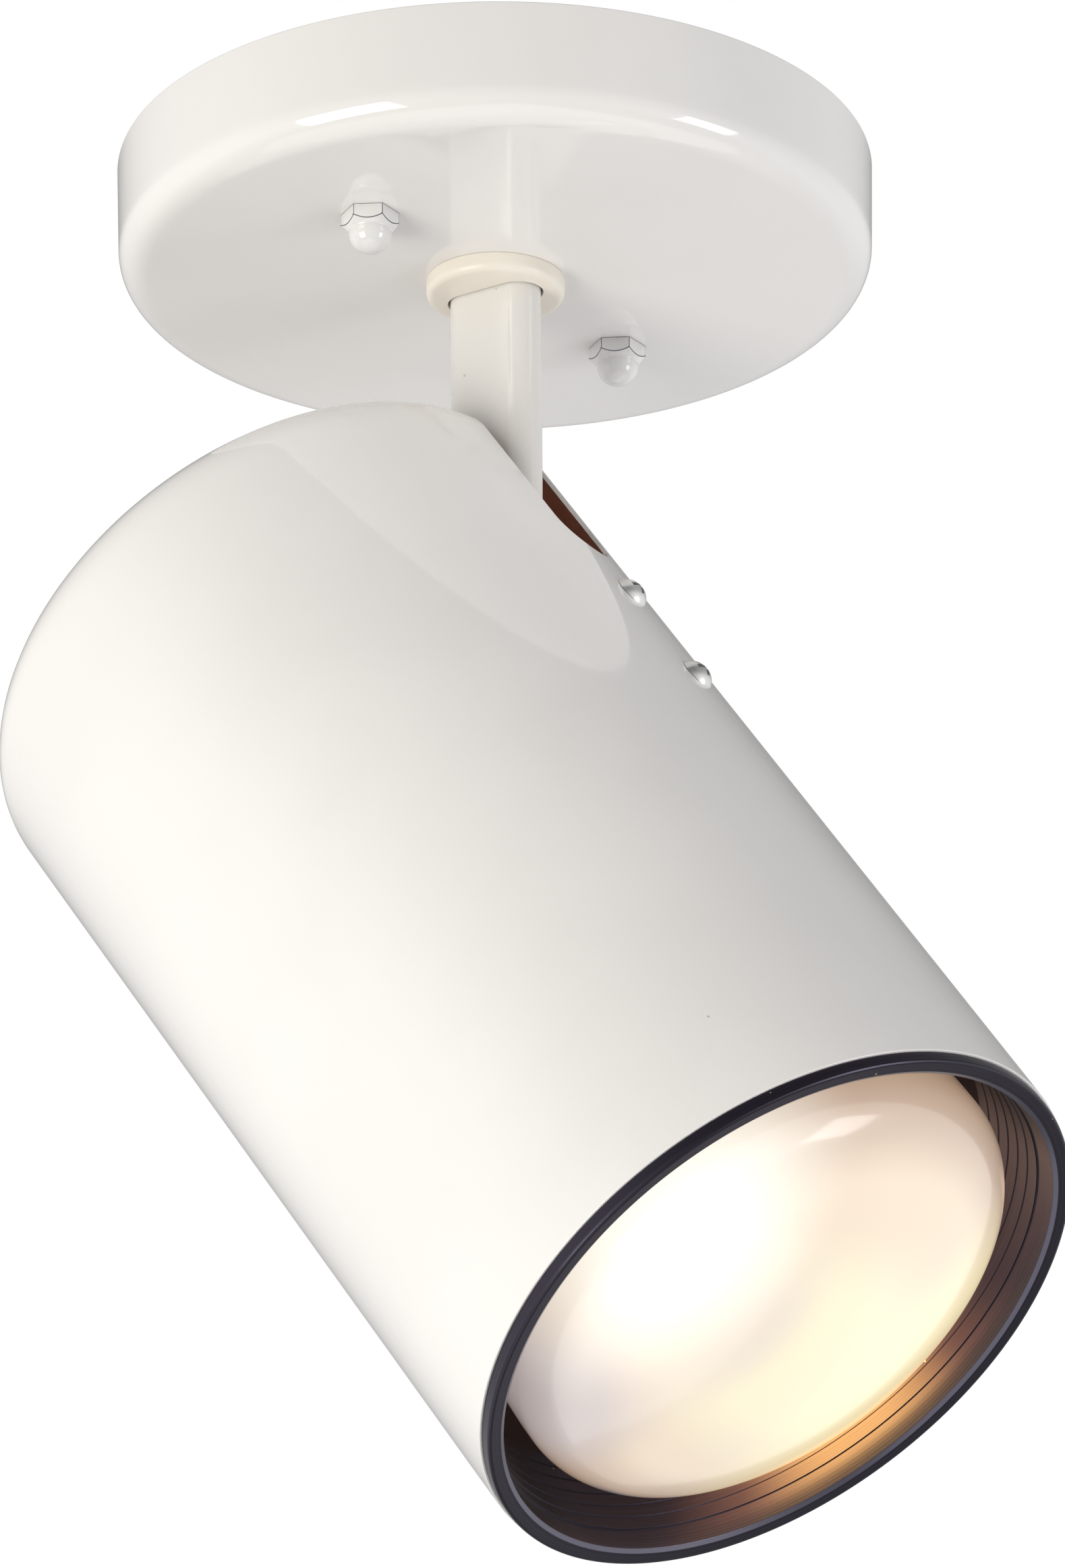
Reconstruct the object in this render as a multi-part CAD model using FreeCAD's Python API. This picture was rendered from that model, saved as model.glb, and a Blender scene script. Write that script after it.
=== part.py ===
"""Adjustable ceiling spotlight: round canopy, swivelling flattened stem and a tilting can with a reflector lamp.

Millimetres. The origin is the centre of the ceiling plane and +Z points up. The canopy studs lie along X.
"""
import FreeCAD, Part
import math
import os

from FreeCAD import Vector

os.makedirs("parts", exist_ok=True)

# Pose in which the light is drawn
rest_tilt = 35.0
rest_swivel = 5.94

# Canopy pan
canopy_radius = 66.675
canopy_draft = 0.45
canopy_depth = 21.0
canopy_round = 5.5
canopy_sheet = 0.9

# Crossbar, studs and nuts
crossbar_length = 108.0
crossbar_width = 20.0
crossbar_sheet = 1.6
crossbar_flange = 5.0
crossbar_bend = 2.6
crossbar_centre_hole = 10.4
stud_spacing = 69.85
stud_diameter = 4.1
stud_clearance = 0.15
stud_reach = 4.6
box_slot_spacing = 88.9
box_slot_length = 10.0
box_slot_width = 4.8
nut_across_flats = 8.73
nut_height = 3.2
nut_chamfer = 30.0
acorn_corner_height = 2.0
acorn_chamfer = 46.0
acorn_dome_diameter = 7.0
acorn_height = 7.4
acorn_tip_flat = 0.05
acorn_bore_depth = 5.2
ground_screw_offset = 17.0
ground_screw_diameter = 4.6
ground_head_across_flats = 7.9
ground_head_height = 2.4
ground_washer_diameter = 10.5
ground_washer_height = 0.7

# Swivel: collar, washers and end stop
bush_diameter = 24.4
bush_height = 3.3
bush_round = 1.3
bush_neck_diameter = 21.2
bush_hole_gap = 0.45
swivel_fit = 0.05
neck_end_gap = 0.2
spring_washer_diameter = 29.6
spring_washer_sheet = 0.5
spring_washer_height = 1.4
spring_neck_gap = 0.35
stop_washer_diameter = 30.4
stop_washer_sheet = 1.2
stop_tab_width = 5.0
stop_tab_reach = 20.6
stop_pin_diameter = 3.0
stop_pin_offset = 18.6
stop_pin_height = 3.4
key_gap = 0.1

# Stem: a round tube pressed to a flat oval
stem_width = 17.4
stem_thickness = 8.1
stem_wall = 0.9
stem_lip = 1.2
stem_lip_height = 1.0
pivot_drop = 80.8

# Tilt pivot
pivot_inset = 18.6
pivot_depth = 31.5
pivot_screw_diameter = 4.1
pivot_fit = 0.05
ear_hole_gap = 0.1
friction_washer_diameter = 14.4
friction_washer_sheet = 0.6
lock_washer_diameter = 7.8
lock_washer_sheet = 0.9
pan_head_diameter = 8.0
pan_head_height = 2.6
pan_head_round = 1.6
thread_end = 1.4

# Can
shade_radius = 56.1
shade_wall = 0.6
shade_length = 178.4
shade_back_round = 9.5
slot_width = 14.5
slot_clearance = 1.2

# Clevis behind the slot, held by two screws through the can
bracket_sheet = 1.5
bracket_width = 13.0
bracket_start = 43.5
bracket_end = 84.0
ear_radius = 8.0
ear_root_start = 46.0
ear_root_end = 66.0
bracket_screw_first = 52.7
bracket_screw_pitch = 22.4
bracket_screw_diameter = 3.5
bracket_screw_gap = 0.15
round_head_diameter = 6.3
round_head_height = 2.0

# Stepped black ring
baffle_set_in = 0.4
baffle_lip = 2.4
baffle_lip_round = 0.5
baffle_face_width = 3.2
baffle_face_crown = 0.3
baffle_bevel = 0.5
baffle_spigot = 5.0
baffle_fit = 0.15
baffle_sheet = 1.0
baffle_band_depth = 4.7
baffle_band_taper = 0.5
baffle_step_count = 6
baffle_step_pitch = 2.6
baffle_step_rise = 0.3
baffle_step_flare = 0.12

# Reflector lamp
lamp_mouth_gap = 6.2
lamp_proud = 8.0
lamp_face_radius = 88.0
lamp_shoulder_radius = 11.0
lamp_flank_radius = 100.0
lamp_flank_run = 52.0
lamp_neck_radius = 12.4
lamp_neck_curve = 30.0
lamp_glass = 0.9
lamp_lean = 1.6
lamp_base_length = 24.8
lamp_base_radius = 13.1
lamp_base_sheet = 0.45
lamp_base_lap = 3.0
lamp_base_end_radius = 9.0
lamp_base_taper = 2.5
lamp_insulator_height = 2.6
lamp_insulator_end_radius = 5.6
lamp_contact_radius = 4.5
lamp_contact_height = 2.0

# Lamp socket and the strap that carries it
socket_radius = 19.5
socket_back_radius = 17.0
socket_mouth = 26.0
socket_floor = 10.0
socket_skirt = 2.0
socket_round = 1.5
socket_bore_gap = 0.1
socket_shell_radius = 14.4
socket_shell_sheet = 0.4
socket_shell_inset = 1.5
contact_rise = 3.2
contact_sheet = 0.5
contact_width = 7.0
contact_reach = 10.5
contact_gap = 0.1
strap_sheet = 1.4
strap_width = 12.0
strap_leg = 17.0
strap_front = 85.0
strap_socket_gap = 1.2
strap_foot_reach = 11.0
strap_bend = 1.2
socket_screw_diameter = 4.0
socket_screw_depth = 7.0
terminal_flat = 15.5
terminal_screw_diameter = 3.6
terminal_screw_depth = 5.5
terminal_head_diameter = 7.2
terminal_head_height = 2.0
screw_hole_gap = 0.1

# Wires
lead_diameter = 2.3
lead_offset = 4.6
lead_join = 5.0
lead_exit = 14.0
lead_height = 8.2
lead_reach = 24.0
lead_turn_reach = 19.2
lead_spread = 12.0
lead_end_gap = 0.3
tail_spread = 10.0
tail_above_strap = 4.0
tail_ahead = 2.0
tail_drop = 5.0
wire_arc_share = 0.45
lead_bushing_wall = 0.7
lead_bushing_depth = 8.0
lead_bushing_lip = 0.8
lead_bushing_gap = 0.1

# Places that follow from the sizes above
canopy_floor = canopy_sheet - canopy_depth
stop_washer_bottom = canopy_floor + spring_washer_height
stop_washer_top = stop_washer_bottom + stop_washer_sheet
stem_top = stop_washer_top + stem_lip_height
pivot_point = Vector(0, 0, -pivot_drop)
pivot_offset = shade_radius - pivot_inset
ear_inside = stem_thickness / 2 + friction_washer_sheet
ear_outside = ear_inside + bracket_sheet
shade_bore = shade_radius - shade_wall
bracket_bore = shade_bore - bracket_sheet
slot_end = pivot_depth + stem_width / 2 + slot_clearance
slot_back = pivot_offset - stem_width / 2 - slot_clearance
baffle_radius = shade_radius - baffle_set_in
baffle_mouth_radius = baffle_radius - baffle_face_width
ring_face = shade_length + baffle_lip
lamp_radius = baffle_mouth_radius - lamp_mouth_gap
lamp_apex = ring_face + lamp_proud
lamp_meet = math.asin((lamp_radius - lamp_shoulder_radius) / (lamp_face_radius - lamp_shoulder_radius))
lamp_slope = math.asin(lamp_flank_run / lamp_flank_radius)
lamp_equator = lamp_apex - lamp_face_radius + (lamp_face_radius - lamp_shoulder_radius) * math.cos(lamp_meet)
lamp_cone_drop = lamp_radius - lamp_neck_radius - (lamp_flank_radius + lamp_neck_curve) * (1 - math.cos(lamp_slope))
lamp_curve_run = (lamp_flank_radius + lamp_neck_curve) * math.sin(lamp_slope)
lamp_neck_end = lamp_equator - lamp_curve_run - lamp_cone_drop / math.tan(lamp_slope)
lamp_tip = lamp_neck_end - lamp_base_length
socket_seat = lamp_tip - contact_rise
socket_back = socket_seat - socket_floor
terminal_depth = socket_back + socket_floor / 2
strap_inside = socket_radius + strap_socket_gap
strap_face = bracket_bore - strap_sheet
bracket_screw_second = bracket_screw_first + bracket_screw_pitch
nut_seat = math.sqrt(bracket_bore ** 2 - (nut_across_flats / 2) ** 2)
shortest_run = 1e-6


def corner_arc(before, corner, after, radius):
    """Tangent points and mid point of an arc that rounds a corner."""
    back = (before - corner).normalize()
    ahead = (after - corner).normalize()
    half = back.getAngle(ahead) / 2
    trim = radius / math.tan(half)
    middle = (back + ahead).normalize()
    return corner + back * trim, corner + middle * (radius / math.sin(half) - radius), corner + ahead * trim


def rounded_path(points, radii, closed):
    """Wire of straight runs with a tangent arc at each point that has a radius."""
    count = len(points)
    edges = []
    cursor = None
    first = None
    for index, point in enumerate(points):
        ends_here = not closed and index in (0, count - 1)
        if radii[index] and not ends_here:
            start, middle, finish = corner_arc(points[index - 1], point, points[(index + 1) % count], radii[index])
        else:
            start, middle, finish = point, None, point
        if cursor is None:
            first = start
        elif cursor.distanceToPoint(start) > shortest_run:
            edges.append(Part.LineSegment(cursor, start).toShape())
        if middle is not None:
            edges.append(Part.Arc(start, middle, finish).toShape())
        cursor = finish
    if closed and cursor.distanceToPoint(first) > shortest_run:
        edges.append(Part.LineSegment(cursor, first).toShape())
    return Part.Wire(edges)


def turned(corners):
    """Solid of revolution about Z from (radius, height, rounding) corners."""
    points = [Vector(radius, 0, height) for radius, height, rounding in corners]
    wire = rounded_path(points, [rounding for radius, height, rounding in corners], True)
    return Part.Face(wire).revolve(Vector(), Vector(0, 0, 1), 360)


def ring(inner, outer, height):
    """Flat washer on the XY plane."""
    return turned([(inner, 0, 0), (outer, 0, 0), (outer, height, 0), (inner, height, 0)])


def hexagon(across_flats, height):
    """Hexagonal prism on the XY plane, with flats facing Y."""
    corner = across_flats / math.sqrt(3)
    points = [Vector(corner * math.cos(k * math.pi / 3), corner * math.sin(k * math.pi / 3), 0) for k in range(7)]
    return Part.Face(Part.makePolygon(points)).extrude(Vector(0, 0, height))


def chamfered_hexagon(across_flats, height, both_ends):
    """Hexagonal prism whose corners are turned off at the top, or at both ends."""
    flat = across_flats / 2
    corner = across_flats / math.sqrt(3)
    drop = (corner - flat) * math.tan(math.radians(nut_chamfer))
    corners = [(0, 0, 0), (flat, 0, 0), (corner, drop, 0)] if both_ends else [(0, 0, 0), (corner, 0, 0)]
    corners += [(corner, height - drop, 0), (flat, height, 0), (0, height, 0)]
    return hexagon(across_flats, height).common(turned(corners))


def hex_nut(bore):
    """Hexagonal nut on the XY plane."""
    return chamfered_hexagon(nut_across_flats, nut_height, True).cut(Part.makeCylinder(bore / 2, nut_height))


def oval(width, thickness, height):
    """Flat-sided oval prism on the XY plane, with its width along Y."""
    end = thickness / 2
    run = (width - thickness) / 2
    corner_points = [Vector(end, -run, 0), Vector(end, run, 0), Vector(-end, run, 0), Vector(-end, -run, 0)]
    edges = [
        Part.LineSegment(corner_points[0], corner_points[1]).toShape(),
        Part.Arc(corner_points[1], Vector(0, run + end, 0), corner_points[2]).toShape(),
        Part.LineSegment(corner_points[2], corner_points[3]).toShape(),
        Part.Arc(corner_points[3], Vector(0, -run - end, 0), corner_points[0]).toShape(),
    ]
    return Part.Face(Part.Wire(edges)).extrude(Vector(0, 0, height))


def raised(shape, height):
    """The shape, moved up by a height."""
    shape.translate(Vector(0, 0, height))
    return shape


def on_side(shape, side):
    """The shape with its Z axis laid along +X or -X."""
    shape.rotate(Vector(), Vector(0, 1, 0), 90 * side)
    return shape


def local(x, height, depth):
    """Point of the can: sideways, towards the slot from the axis, and forwards from the back face."""
    return Vector(x, -height, -depth)


def swivelled(shape):
    """The shape, turned with the stem about the ceiling's normal."""
    shape.rotate(Vector(), Vector(0, 0, 1), rest_swivel)
    return shape


def hung(shape):
    """The shape moved from the can's own frame to its place on the stem, before the swivel."""
    shape.translate(Vector(0, pivot_offset, pivot_depth - pivot_drop))
    shape.rotate(pivot_point, Vector(1, 0, 0), -rest_tilt)
    return shape


def hung_point(point):
    """A point of the can's own frame, in its place on the stem before the swivel."""
    return hung(Part.Vertex(point)).Point


def save(name, shape):
    """Write one node."""
    shape.exportStep("parts/%s.step" % name)


def save_stem(name, shape):
    """Write one node that swivels with the stem."""
    save(name, swivelled(shape))


def save_head(name, shape):
    """Write one node that tilts with the can."""
    save(name, swivelled(hung(shape)))


def stud_places():
    """The two stud axes."""
    return [Vector(side * stud_spacing / 2, 0, 0) for side in (-1, 1)]


def at_studs(shape):
    """A copy of the shape at each stud, as separate solids."""
    copies = []
    for place in stud_places():
        copy = shape.copy()
        copy.translate(place)
        copies.append(copy)
    return Part.makeCompound(copies)


def make_canopy():
    """Drawn pan with a rolled lower edge, a hole for the collar's neck and two stud holes."""
    low_radius = canopy_radius - canopy_draft
    hole = bush_neck_diameter / 2 + swivel_fit
    pan = turned([
        (canopy_radius, 0, 0),
        (low_radius, -canopy_depth, canopy_round),
        (hole, -canopy_depth, 0),
        (hole, canopy_floor, 0),
        (low_radius - canopy_sheet, canopy_floor, canopy_round - canopy_sheet),
        (canopy_radius - canopy_sheet, 0, 0),
    ])
    for place in stud_places():
        drill = Part.makeCylinder(stud_diameter / 2 + stud_clearance, canopy_depth, place, Vector(0, 0, -1))
        pan = pan.cut(drill)
    return pan


def make_crossbar():
    """Channel-shaped strap with box slots, stud holes, a centre hole and a ground screw hole."""
    half = crossbar_width / 2
    inner = half - crossbar_sheet
    outline = [(-half, -crossbar_flange), (-half, 0), (half, 0), (half, -crossbar_flange),
               (inner, -crossbar_flange), (inner, -crossbar_sheet), (-inner, -crossbar_sheet),
               (-inner, -crossbar_flange)]
    inner_bend = crossbar_bend - crossbar_sheet
    radii = [0, crossbar_bend, crossbar_bend, 0, 0, inner_bend, inner_bend, 0]
    points = [Vector(-crossbar_length / 2, y, z) for y, z in outline]
    bar = Part.Face(rounded_path(points, radii, True)).extrude(Vector(crossbar_length, 0, 0))
    for side in (-1, 1):
        slot = oval(box_slot_length, box_slot_width, crossbar_sheet)
        slot.rotate(Vector(), Vector(0, 0, 1), 90)
        slot.translate(Vector(side * box_slot_spacing / 2, 0, -crossbar_sheet))
        bar = bar.cut(slot)
    for place in stud_places():
        bar = bar.cut(Part.makeCylinder(stud_diameter / 2, crossbar_sheet, place, Vector(0, 0, -1)))
    bar = bar.cut(Part.makeCylinder(crossbar_centre_hole / 2, crossbar_sheet, Vector(), Vector(0, 0, -1)))
    ground_place = Vector(ground_screw_offset, 0, 0)
    return bar.cut(Part.makeCylinder(ground_screw_diameter / 2, crossbar_sheet, ground_place, Vector(0, 0, -1)))


def make_stud():
    """Threaded stud from the crossbar down into its acorn nut."""
    length = canopy_depth + stud_reach
    return Part.makeCylinder(stud_diameter / 2, length, Vector(0, 0, -length))


def make_stud_nut():
    """Lock nut under the crossbar."""
    return raised(hex_nut(stud_diameter), -crossbar_sheet - nut_height)


def make_acorn_nut():
    """Closed nut: hexagon whose turned-off corners run into a domed cap, with a blind hole, under the canopy."""
    corner = nut_across_flats / math.sqrt(3)
    dome = acorn_dome_diameter / 2
    shoulder = acorn_corner_height + (corner - dome) * math.tan(math.radians(acorn_chamfer))
    blank = turned([
        (0, 0, 0),
        (corner, 0, 0),
        (corner, acorn_corner_height, 0),
        (dome, shoulder, 0),
        (dome, acorn_height, dome - acorn_tip_flat),
        (0, acorn_height, 0),
    ])
    nut = hexagon(nut_across_flats, acorn_height).common(blank)
    nut = nut.cut(Part.makeCylinder(stud_diameter / 2, acorn_bore_depth)).removeSplitter()
    nut.rotate(Vector(), Vector(1, 0, 0), 180)
    return raised(nut, -canopy_depth)


def make_ground_screw():
    """Hexagon screw with a washer face, up into the crossbar."""
    screw = Part.makeCylinder(ground_screw_diameter / 2, crossbar_sheet)
    washer = Part.makeCylinder(ground_washer_diameter / 2, ground_washer_height, Vector(), Vector(0, 0, -1))
    head = chamfered_hexagon(ground_head_across_flats, ground_head_height, False)
    head.rotate(Vector(), Vector(1, 0, 0), 180)
    screw = screw.fuse([washer, head]).removeSplitter()
    screw.translate(Vector(ground_screw_offset, 0, -crossbar_sheet))
    return screw


def make_stop_pin():
    """Riveted pin that ends the swivel, opposite the washer's tab."""
    radius = stop_pin_diameter / 2
    return Part.makeCylinder(radius, stop_pin_height, Vector(0, -stop_pin_offset, canopy_floor))


def make_swivel_bush():
    """Collar with a neck that turns in the canopy, and a flat oval hole for the stem."""
    flange = bush_diameter / 2
    neck = bush_neck_diameter / 2
    bottom = -canopy_depth - bush_height
    neck_top = stop_washer_bottom - neck_end_gap
    body = turned([(0, bottom, 0), (flange, bottom, bush_round), (flange, -canopy_depth, 0),
                   (neck, -canopy_depth, 0), (neck, neck_top, 0), (0, neck_top, 0)])
    hole = oval(stem_width + 2 * bush_hole_gap, stem_thickness + 2 * bush_hole_gap, neck_top - bottom)
    return body.cut(raised(hole, bottom))


def make_spring_washer():
    """Conical washer between the canopy's floor and the stop washer."""
    inner = bush_neck_diameter / 2 + spring_neck_gap
    outer = spring_washer_diameter / 2
    rise = spring_washer_height - spring_washer_sheet
    cone = turned([(inner, rise, 0), (outer, 0, 0), (outer, spring_washer_sheet, 0),
                   (inner, spring_washer_height, 0)])
    return raised(cone, canopy_floor)


def make_stop_washer():
    """Washer keyed to the stem, with the tab that meets the stop pin."""
    disc = Part.makeCylinder(stop_washer_diameter / 2, stop_washer_sheet)
    tab = Part.makeBox(stop_tab_width, stop_tab_reach, stop_washer_sheet, Vector(-stop_tab_width / 2, 0, 0))
    hole = oval(stem_width + 2 * key_gap, stem_thickness + 2 * key_gap, stop_washer_sheet)
    return raised(disc.fuse(tab).cut(hole).removeSplitter(), stop_washer_bottom)


def make_stem():
    """Flat oval tube with a spread top edge and a full-round lower end about the pivot hole."""
    half = stem_width / 2
    end = -pivot_drop - half
    lip = oval(stem_width + 2 * stem_lip, stem_thickness + 2 * stem_lip, stem_lip_height)
    tube = raised(oval(stem_width, stem_thickness, stem_top - end), end).fuse(raised(lip, stop_washer_top))
    bore = oval(stem_width - 2 * stem_wall, stem_thickness - 2 * stem_wall, stem_top - end)
    tube = tube.cut(raised(bore, end))
    keep = Part.makeBox(stem_thickness + 2 * stem_lip, stem_width + 2 * stem_lip, stem_top + pivot_drop)
    keep.translate(Vector(-stem_thickness / 2 - stem_lip, -half - stem_lip, -pivot_drop))
    round_end = on_side(Part.makeCylinder(half, stem_thickness, Vector(0, 0, -stem_thickness / 2)), 1)
    tube = tube.common(keep.fuse(raised(round_end, -pivot_drop)))
    hole_radius = pivot_screw_diameter / 2 + pivot_fit
    hole = on_side(Part.makeCylinder(hole_radius, stem_thickness, Vector(0, 0, -stem_thickness / 2)), 1)
    return tube.cut(raised(hole, -pivot_drop)).removeSplitter()


def make_lead_bushing():
    """Sleeve in the stem's top that keeps the wires off the metal edge."""
    width = stem_width - 2 * stem_wall - 2 * lead_bushing_gap
    thickness = stem_thickness - 2 * stem_wall - 2 * lead_bushing_gap
    sleeve = raised(oval(width, thickness, lead_bushing_depth), stem_top - lead_bushing_depth)
    lip = raised(oval(stem_width, stem_thickness, lead_bushing_lip), stem_top)
    height = lead_bushing_depth + lead_bushing_lip
    hole = oval(width - 2 * lead_bushing_wall, thickness - 2 * lead_bushing_wall, height)
    return sleeve.fuse(lip).cut(raised(hole, stem_top - lead_bushing_depth)).removeSplitter()


def cord(points):
    """Round wire along a route of straight runs, with arcs as large as the runs allow."""
    radii = [0]
    for before, corner, after in zip(points, points[1:], points[2:]):
        half = (before - corner).getAngle(after - corner) / 2
        shorter = min((before - corner).Length, (after - corner).Length)
        radii.append(wire_arc_share * shorter * math.tan(half))
    radii.append(0)
    path = rounded_path(points, radii, False)
    section = Part.Wire(Part.Circle(points[0], points[1] - points[0], lead_diameter / 2).toShape())
    return path.makePipeShell([section], True, False)


def lead_route(side):
    """Wire from the canopy's wiring space, down the stem, to the join beside the pivot."""
    return [
        Vector(side * lead_spread, side * lead_reach, -lead_height),
        Vector(side * lead_offset, side * lead_turn_reach, -lead_height),
        Vector(0, side * lead_offset, -lead_height - lead_diameter),
        Vector(0, side * lead_offset, -pivot_drop - lead_join),
    ]


def tail_route(side):
    """End of a wire, from the join beside the pivot, round the strap, to its terminal screw."""
    clear = terminal_flat + lead_diameter / 2
    seat = terminal_head_diameter / 2 + lead_end_gap
    start = Vector(0, side * lead_offset, -pivot_drop - lead_join)
    leave = Vector(0, side * lead_offset, -pivot_drop - lead_exit)
    beside_strap = local(side * tail_spread, strap_inside + tail_above_strap, terminal_depth + tail_ahead)
    above_terminal = local(side * clear, strap_inside - tail_drop, terminal_depth)
    terminal = local(side * clear, seat, terminal_depth)
    return [start, leave] + [hung_point(point) for point in (beside_strap, above_terminal, terminal)]


def make_shade():
    """Can with a rounded closed back, a slot for the stem and two screw holes."""
    can = turned([
        (0, 0, 0),
        (shade_radius, 0, shade_back_round),
        (shade_radius, -shade_length, 0),
        (shade_bore, -shade_length, 0),
        (shade_bore, -shade_wall, shade_back_round - shade_wall),
        (0, -shade_wall, 0),
    ])
    half = slot_width / 2
    inside = shade_radius - shade_back_round - shade_wall
    run = slot_end - half
    wall_cut = Part.makeBox(slot_width, shade_radius - inside, run, local(-half, shade_radius, run))
    wall_end = Part.makeCylinder(half, shade_radius - inside, local(0, inside, run), Vector(0, -1, 0))
    plate_run = shade_radius - slot_back - half
    plate_cut = Part.makeBox(slot_width, plate_run, 2 * shade_wall, local(-half, shade_radius, 2 * shade_wall))
    plate_end = Part.makeCylinder(half, 2 * shade_wall, local(0, slot_back + half, 2 * shade_wall))
    can = can.cut([wall_cut, wall_end, plate_cut, plate_end])
    for depth in (bracket_screw_first, bracket_screw_second):
        radius = bracket_screw_diameter / 2 + bracket_screw_gap
        can = can.cut(Part.makeCylinder(radius, shade_radius, local(0, 0, depth), Vector(0, -1, 0)))
    return can


def make_baffle():
    """Ring over the can's front edge, with a spigot inside it and a stepped skirt round the lamp."""
    front = -ring_face
    profile = [
        (baffle_radius, -shade_length, 0),
        (baffle_radius, front + baffle_face_crown, baffle_lip_round),
        (baffle_mouth_radius + baffle_bevel, front, 0),
        (baffle_mouth_radius, front + baffle_bevel, 0),
    ]
    radius = baffle_mouth_radius - baffle_band_taper
    height = front + baffle_band_depth
    profile.append((radius, height, 0))
    for step in range(baffle_step_count):
        radius -= baffle_step_rise
        profile.append((radius, height, 0))
        height += baffle_step_pitch
        profile.append((radius - baffle_step_flare, height, 0))
    skirt = baffle_mouth_radius + baffle_sheet
    spigot = shade_bore - baffle_fit
    spigot_end = -shade_length + baffle_spigot
    profile += [(skirt, height, 0), (skirt, spigot_end, 0), (spigot, spigot_end, 0), (spigot, -shade_length, 0)]
    return turned(profile)


def ear_outline():
    """Side view of one clevis ear: a round end at the pivot that widens to its root on the can's wall."""
    pivot = Vector(0, -pivot_offset, -pivot_depth)
    disc = on_side(Part.makeCylinder(ear_radius, bracket_sheet), 1)
    disc.translate(pivot)
    root = [local(0, shade_bore, ear_root_start), local(0, shade_bore, ear_root_end)]
    touch = []
    for corner, side in zip(root, (-1, 1)):
        reach = corner - pivot
        swing = side * math.acos(ear_radius / reach.Length)
        direction = FreeCAD.Rotation(Vector(1, 0, 0), math.degrees(swing)).multVec(reach.normalize())
        touch.append(pivot + direction * ear_radius)
    polygon = Part.makePolygon([touch[0], root[0], root[1], touch[1], touch[0]])
    return disc.fuse(Part.Face(polygon).extrude(Vector(bracket_sheet, 0, 0))).removeSplitter()


def make_pivot_bracket():
    """Clevis: a web curved to the can's wall and two ears that flank the stem."""
    half = bracket_width / 2
    length = bracket_end - bracket_start
    web = raised(ring(bracket_bore, shade_bore, length), -bracket_end)
    web = web.common(Part.makeBox(bracket_width, shade_bore, length, local(-half, shade_bore, bracket_end)))
    bore = Part.makeCylinder(shade_bore, length + bracket_end, Vector(0, 0, -length - bracket_end))
    bracket = web
    for offset in (-ear_outside, ear_inside):
        ear = ear_outline()
        ear.translate(Vector(offset, 0, 0))
        bracket = bracket.fuse(ear.common(bore))
    hole_radius = pivot_screw_diameter / 2 + ear_hole_gap
    hole = on_side(Part.makeCylinder(hole_radius, 2 * ear_outside, Vector(0, 0, -ear_outside)), 1)
    hole.translate(local(0, pivot_offset, pivot_depth))
    bracket = bracket.cut(hole)
    for depth in (bracket_screw_first, bracket_screw_second):
        radius = bracket_screw_diameter / 2 + bracket_screw_gap
        bracket = bracket.cut(Part.makeCylinder(radius, shade_bore, local(0, 0, depth), Vector(0, -1, 0)))
    return bracket.removeSplitter()


def at_pivot(shape, side, x):
    """The shape with its Z axis along the pivot, outwards on one side, from a distance off the middle."""
    on_side(shape, side)
    shape.translate(local(side * x, pivot_offset, pivot_depth))
    return shape


def make_pivot_screw():
    """Pan-head screw through both ears and the stem."""
    head_radius = pan_head_diameter / 2
    head = turned([(0, 0, 0), (head_radius, 0, 0), (head_radius, pan_head_height, pan_head_round),
                   (0, pan_head_height, 0)])
    length = 2 * ear_outside + lock_washer_sheet + nut_height + thread_end
    shank = Part.makeCylinder(pivot_screw_diameter / 2, length, Vector(), Vector(0, 0, -1))
    return at_pivot(head.fuse(shank).removeSplitter(), 1, ear_outside)


def make_friction_washers():
    """Two washers between the stem's flats and the ears."""
    inner = pivot_screw_diameter / 2 + ear_hole_gap
    washers = [ring(inner, friction_washer_diameter / 2, friction_washer_sheet) for side in (-1, 1)]
    return Part.makeCompound([at_pivot(washer, side, stem_thickness / 2) for washer, side in zip(washers, (-1, 1))])


def make_pivot_lock_washer():
    """Spring lock washer under the pivot nut."""
    washer = ring(pivot_screw_diameter / 2 + ear_hole_gap, lock_washer_diameter / 2, lock_washer_sheet)
    return at_pivot(washer, -1, ear_outside)


def make_pivot_nut():
    """Nut of the pivot screw."""
    return at_pivot(hex_nut(pivot_screw_diameter), -1, ear_outside + lock_washer_sheet)


def facing_out(shape, height, depth):
    """The shape with its Z axis pointing from the can's axis towards the slot side."""
    shape.rotate(Vector(), Vector(1, 0, 0), 90)
    shape.translate(local(0, height, depth))
    return shape


def make_bracket_screws():
    """The two round-head screws in line with the slot."""
    head_radius = round_head_diameter / 2
    bulge = (head_radius ** 2 + round_head_height ** 2) / (2 * round_head_height)
    screws = []
    for depth, seat in ((bracket_screw_first, nut_seat), (bracket_screw_second, strap_face)):
        ball = Part.makeSphere(bulge, Vector(0, 0, round_head_height - bulge))
        head = ball.common(Part.makeCylinder(head_radius, round_head_height))
        length = shade_radius - seat + nut_height + thread_end
        shank = Part.makeCylinder(bracket_screw_diameter / 2, length, Vector(), Vector(0, 0, -1))
        screws.append(facing_out(head.fuse(shank).removeSplitter(), shade_radius, depth))
    return Part.makeCompound(screws)


def make_bracket_nuts():
    """Nuts of the two screws, with flats beside the ears."""
    nuts = []
    for depth, seat in ((bracket_screw_first, nut_seat), (bracket_screw_second, strap_face)):
        nut = hex_nut(bracket_screw_diameter)
        nut.rotate(Vector(), Vector(0, 0, 1), 90)
        nuts.append(facing_out(nut, seat - nut_height, depth))
    return Part.makeCompound(nuts)


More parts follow.
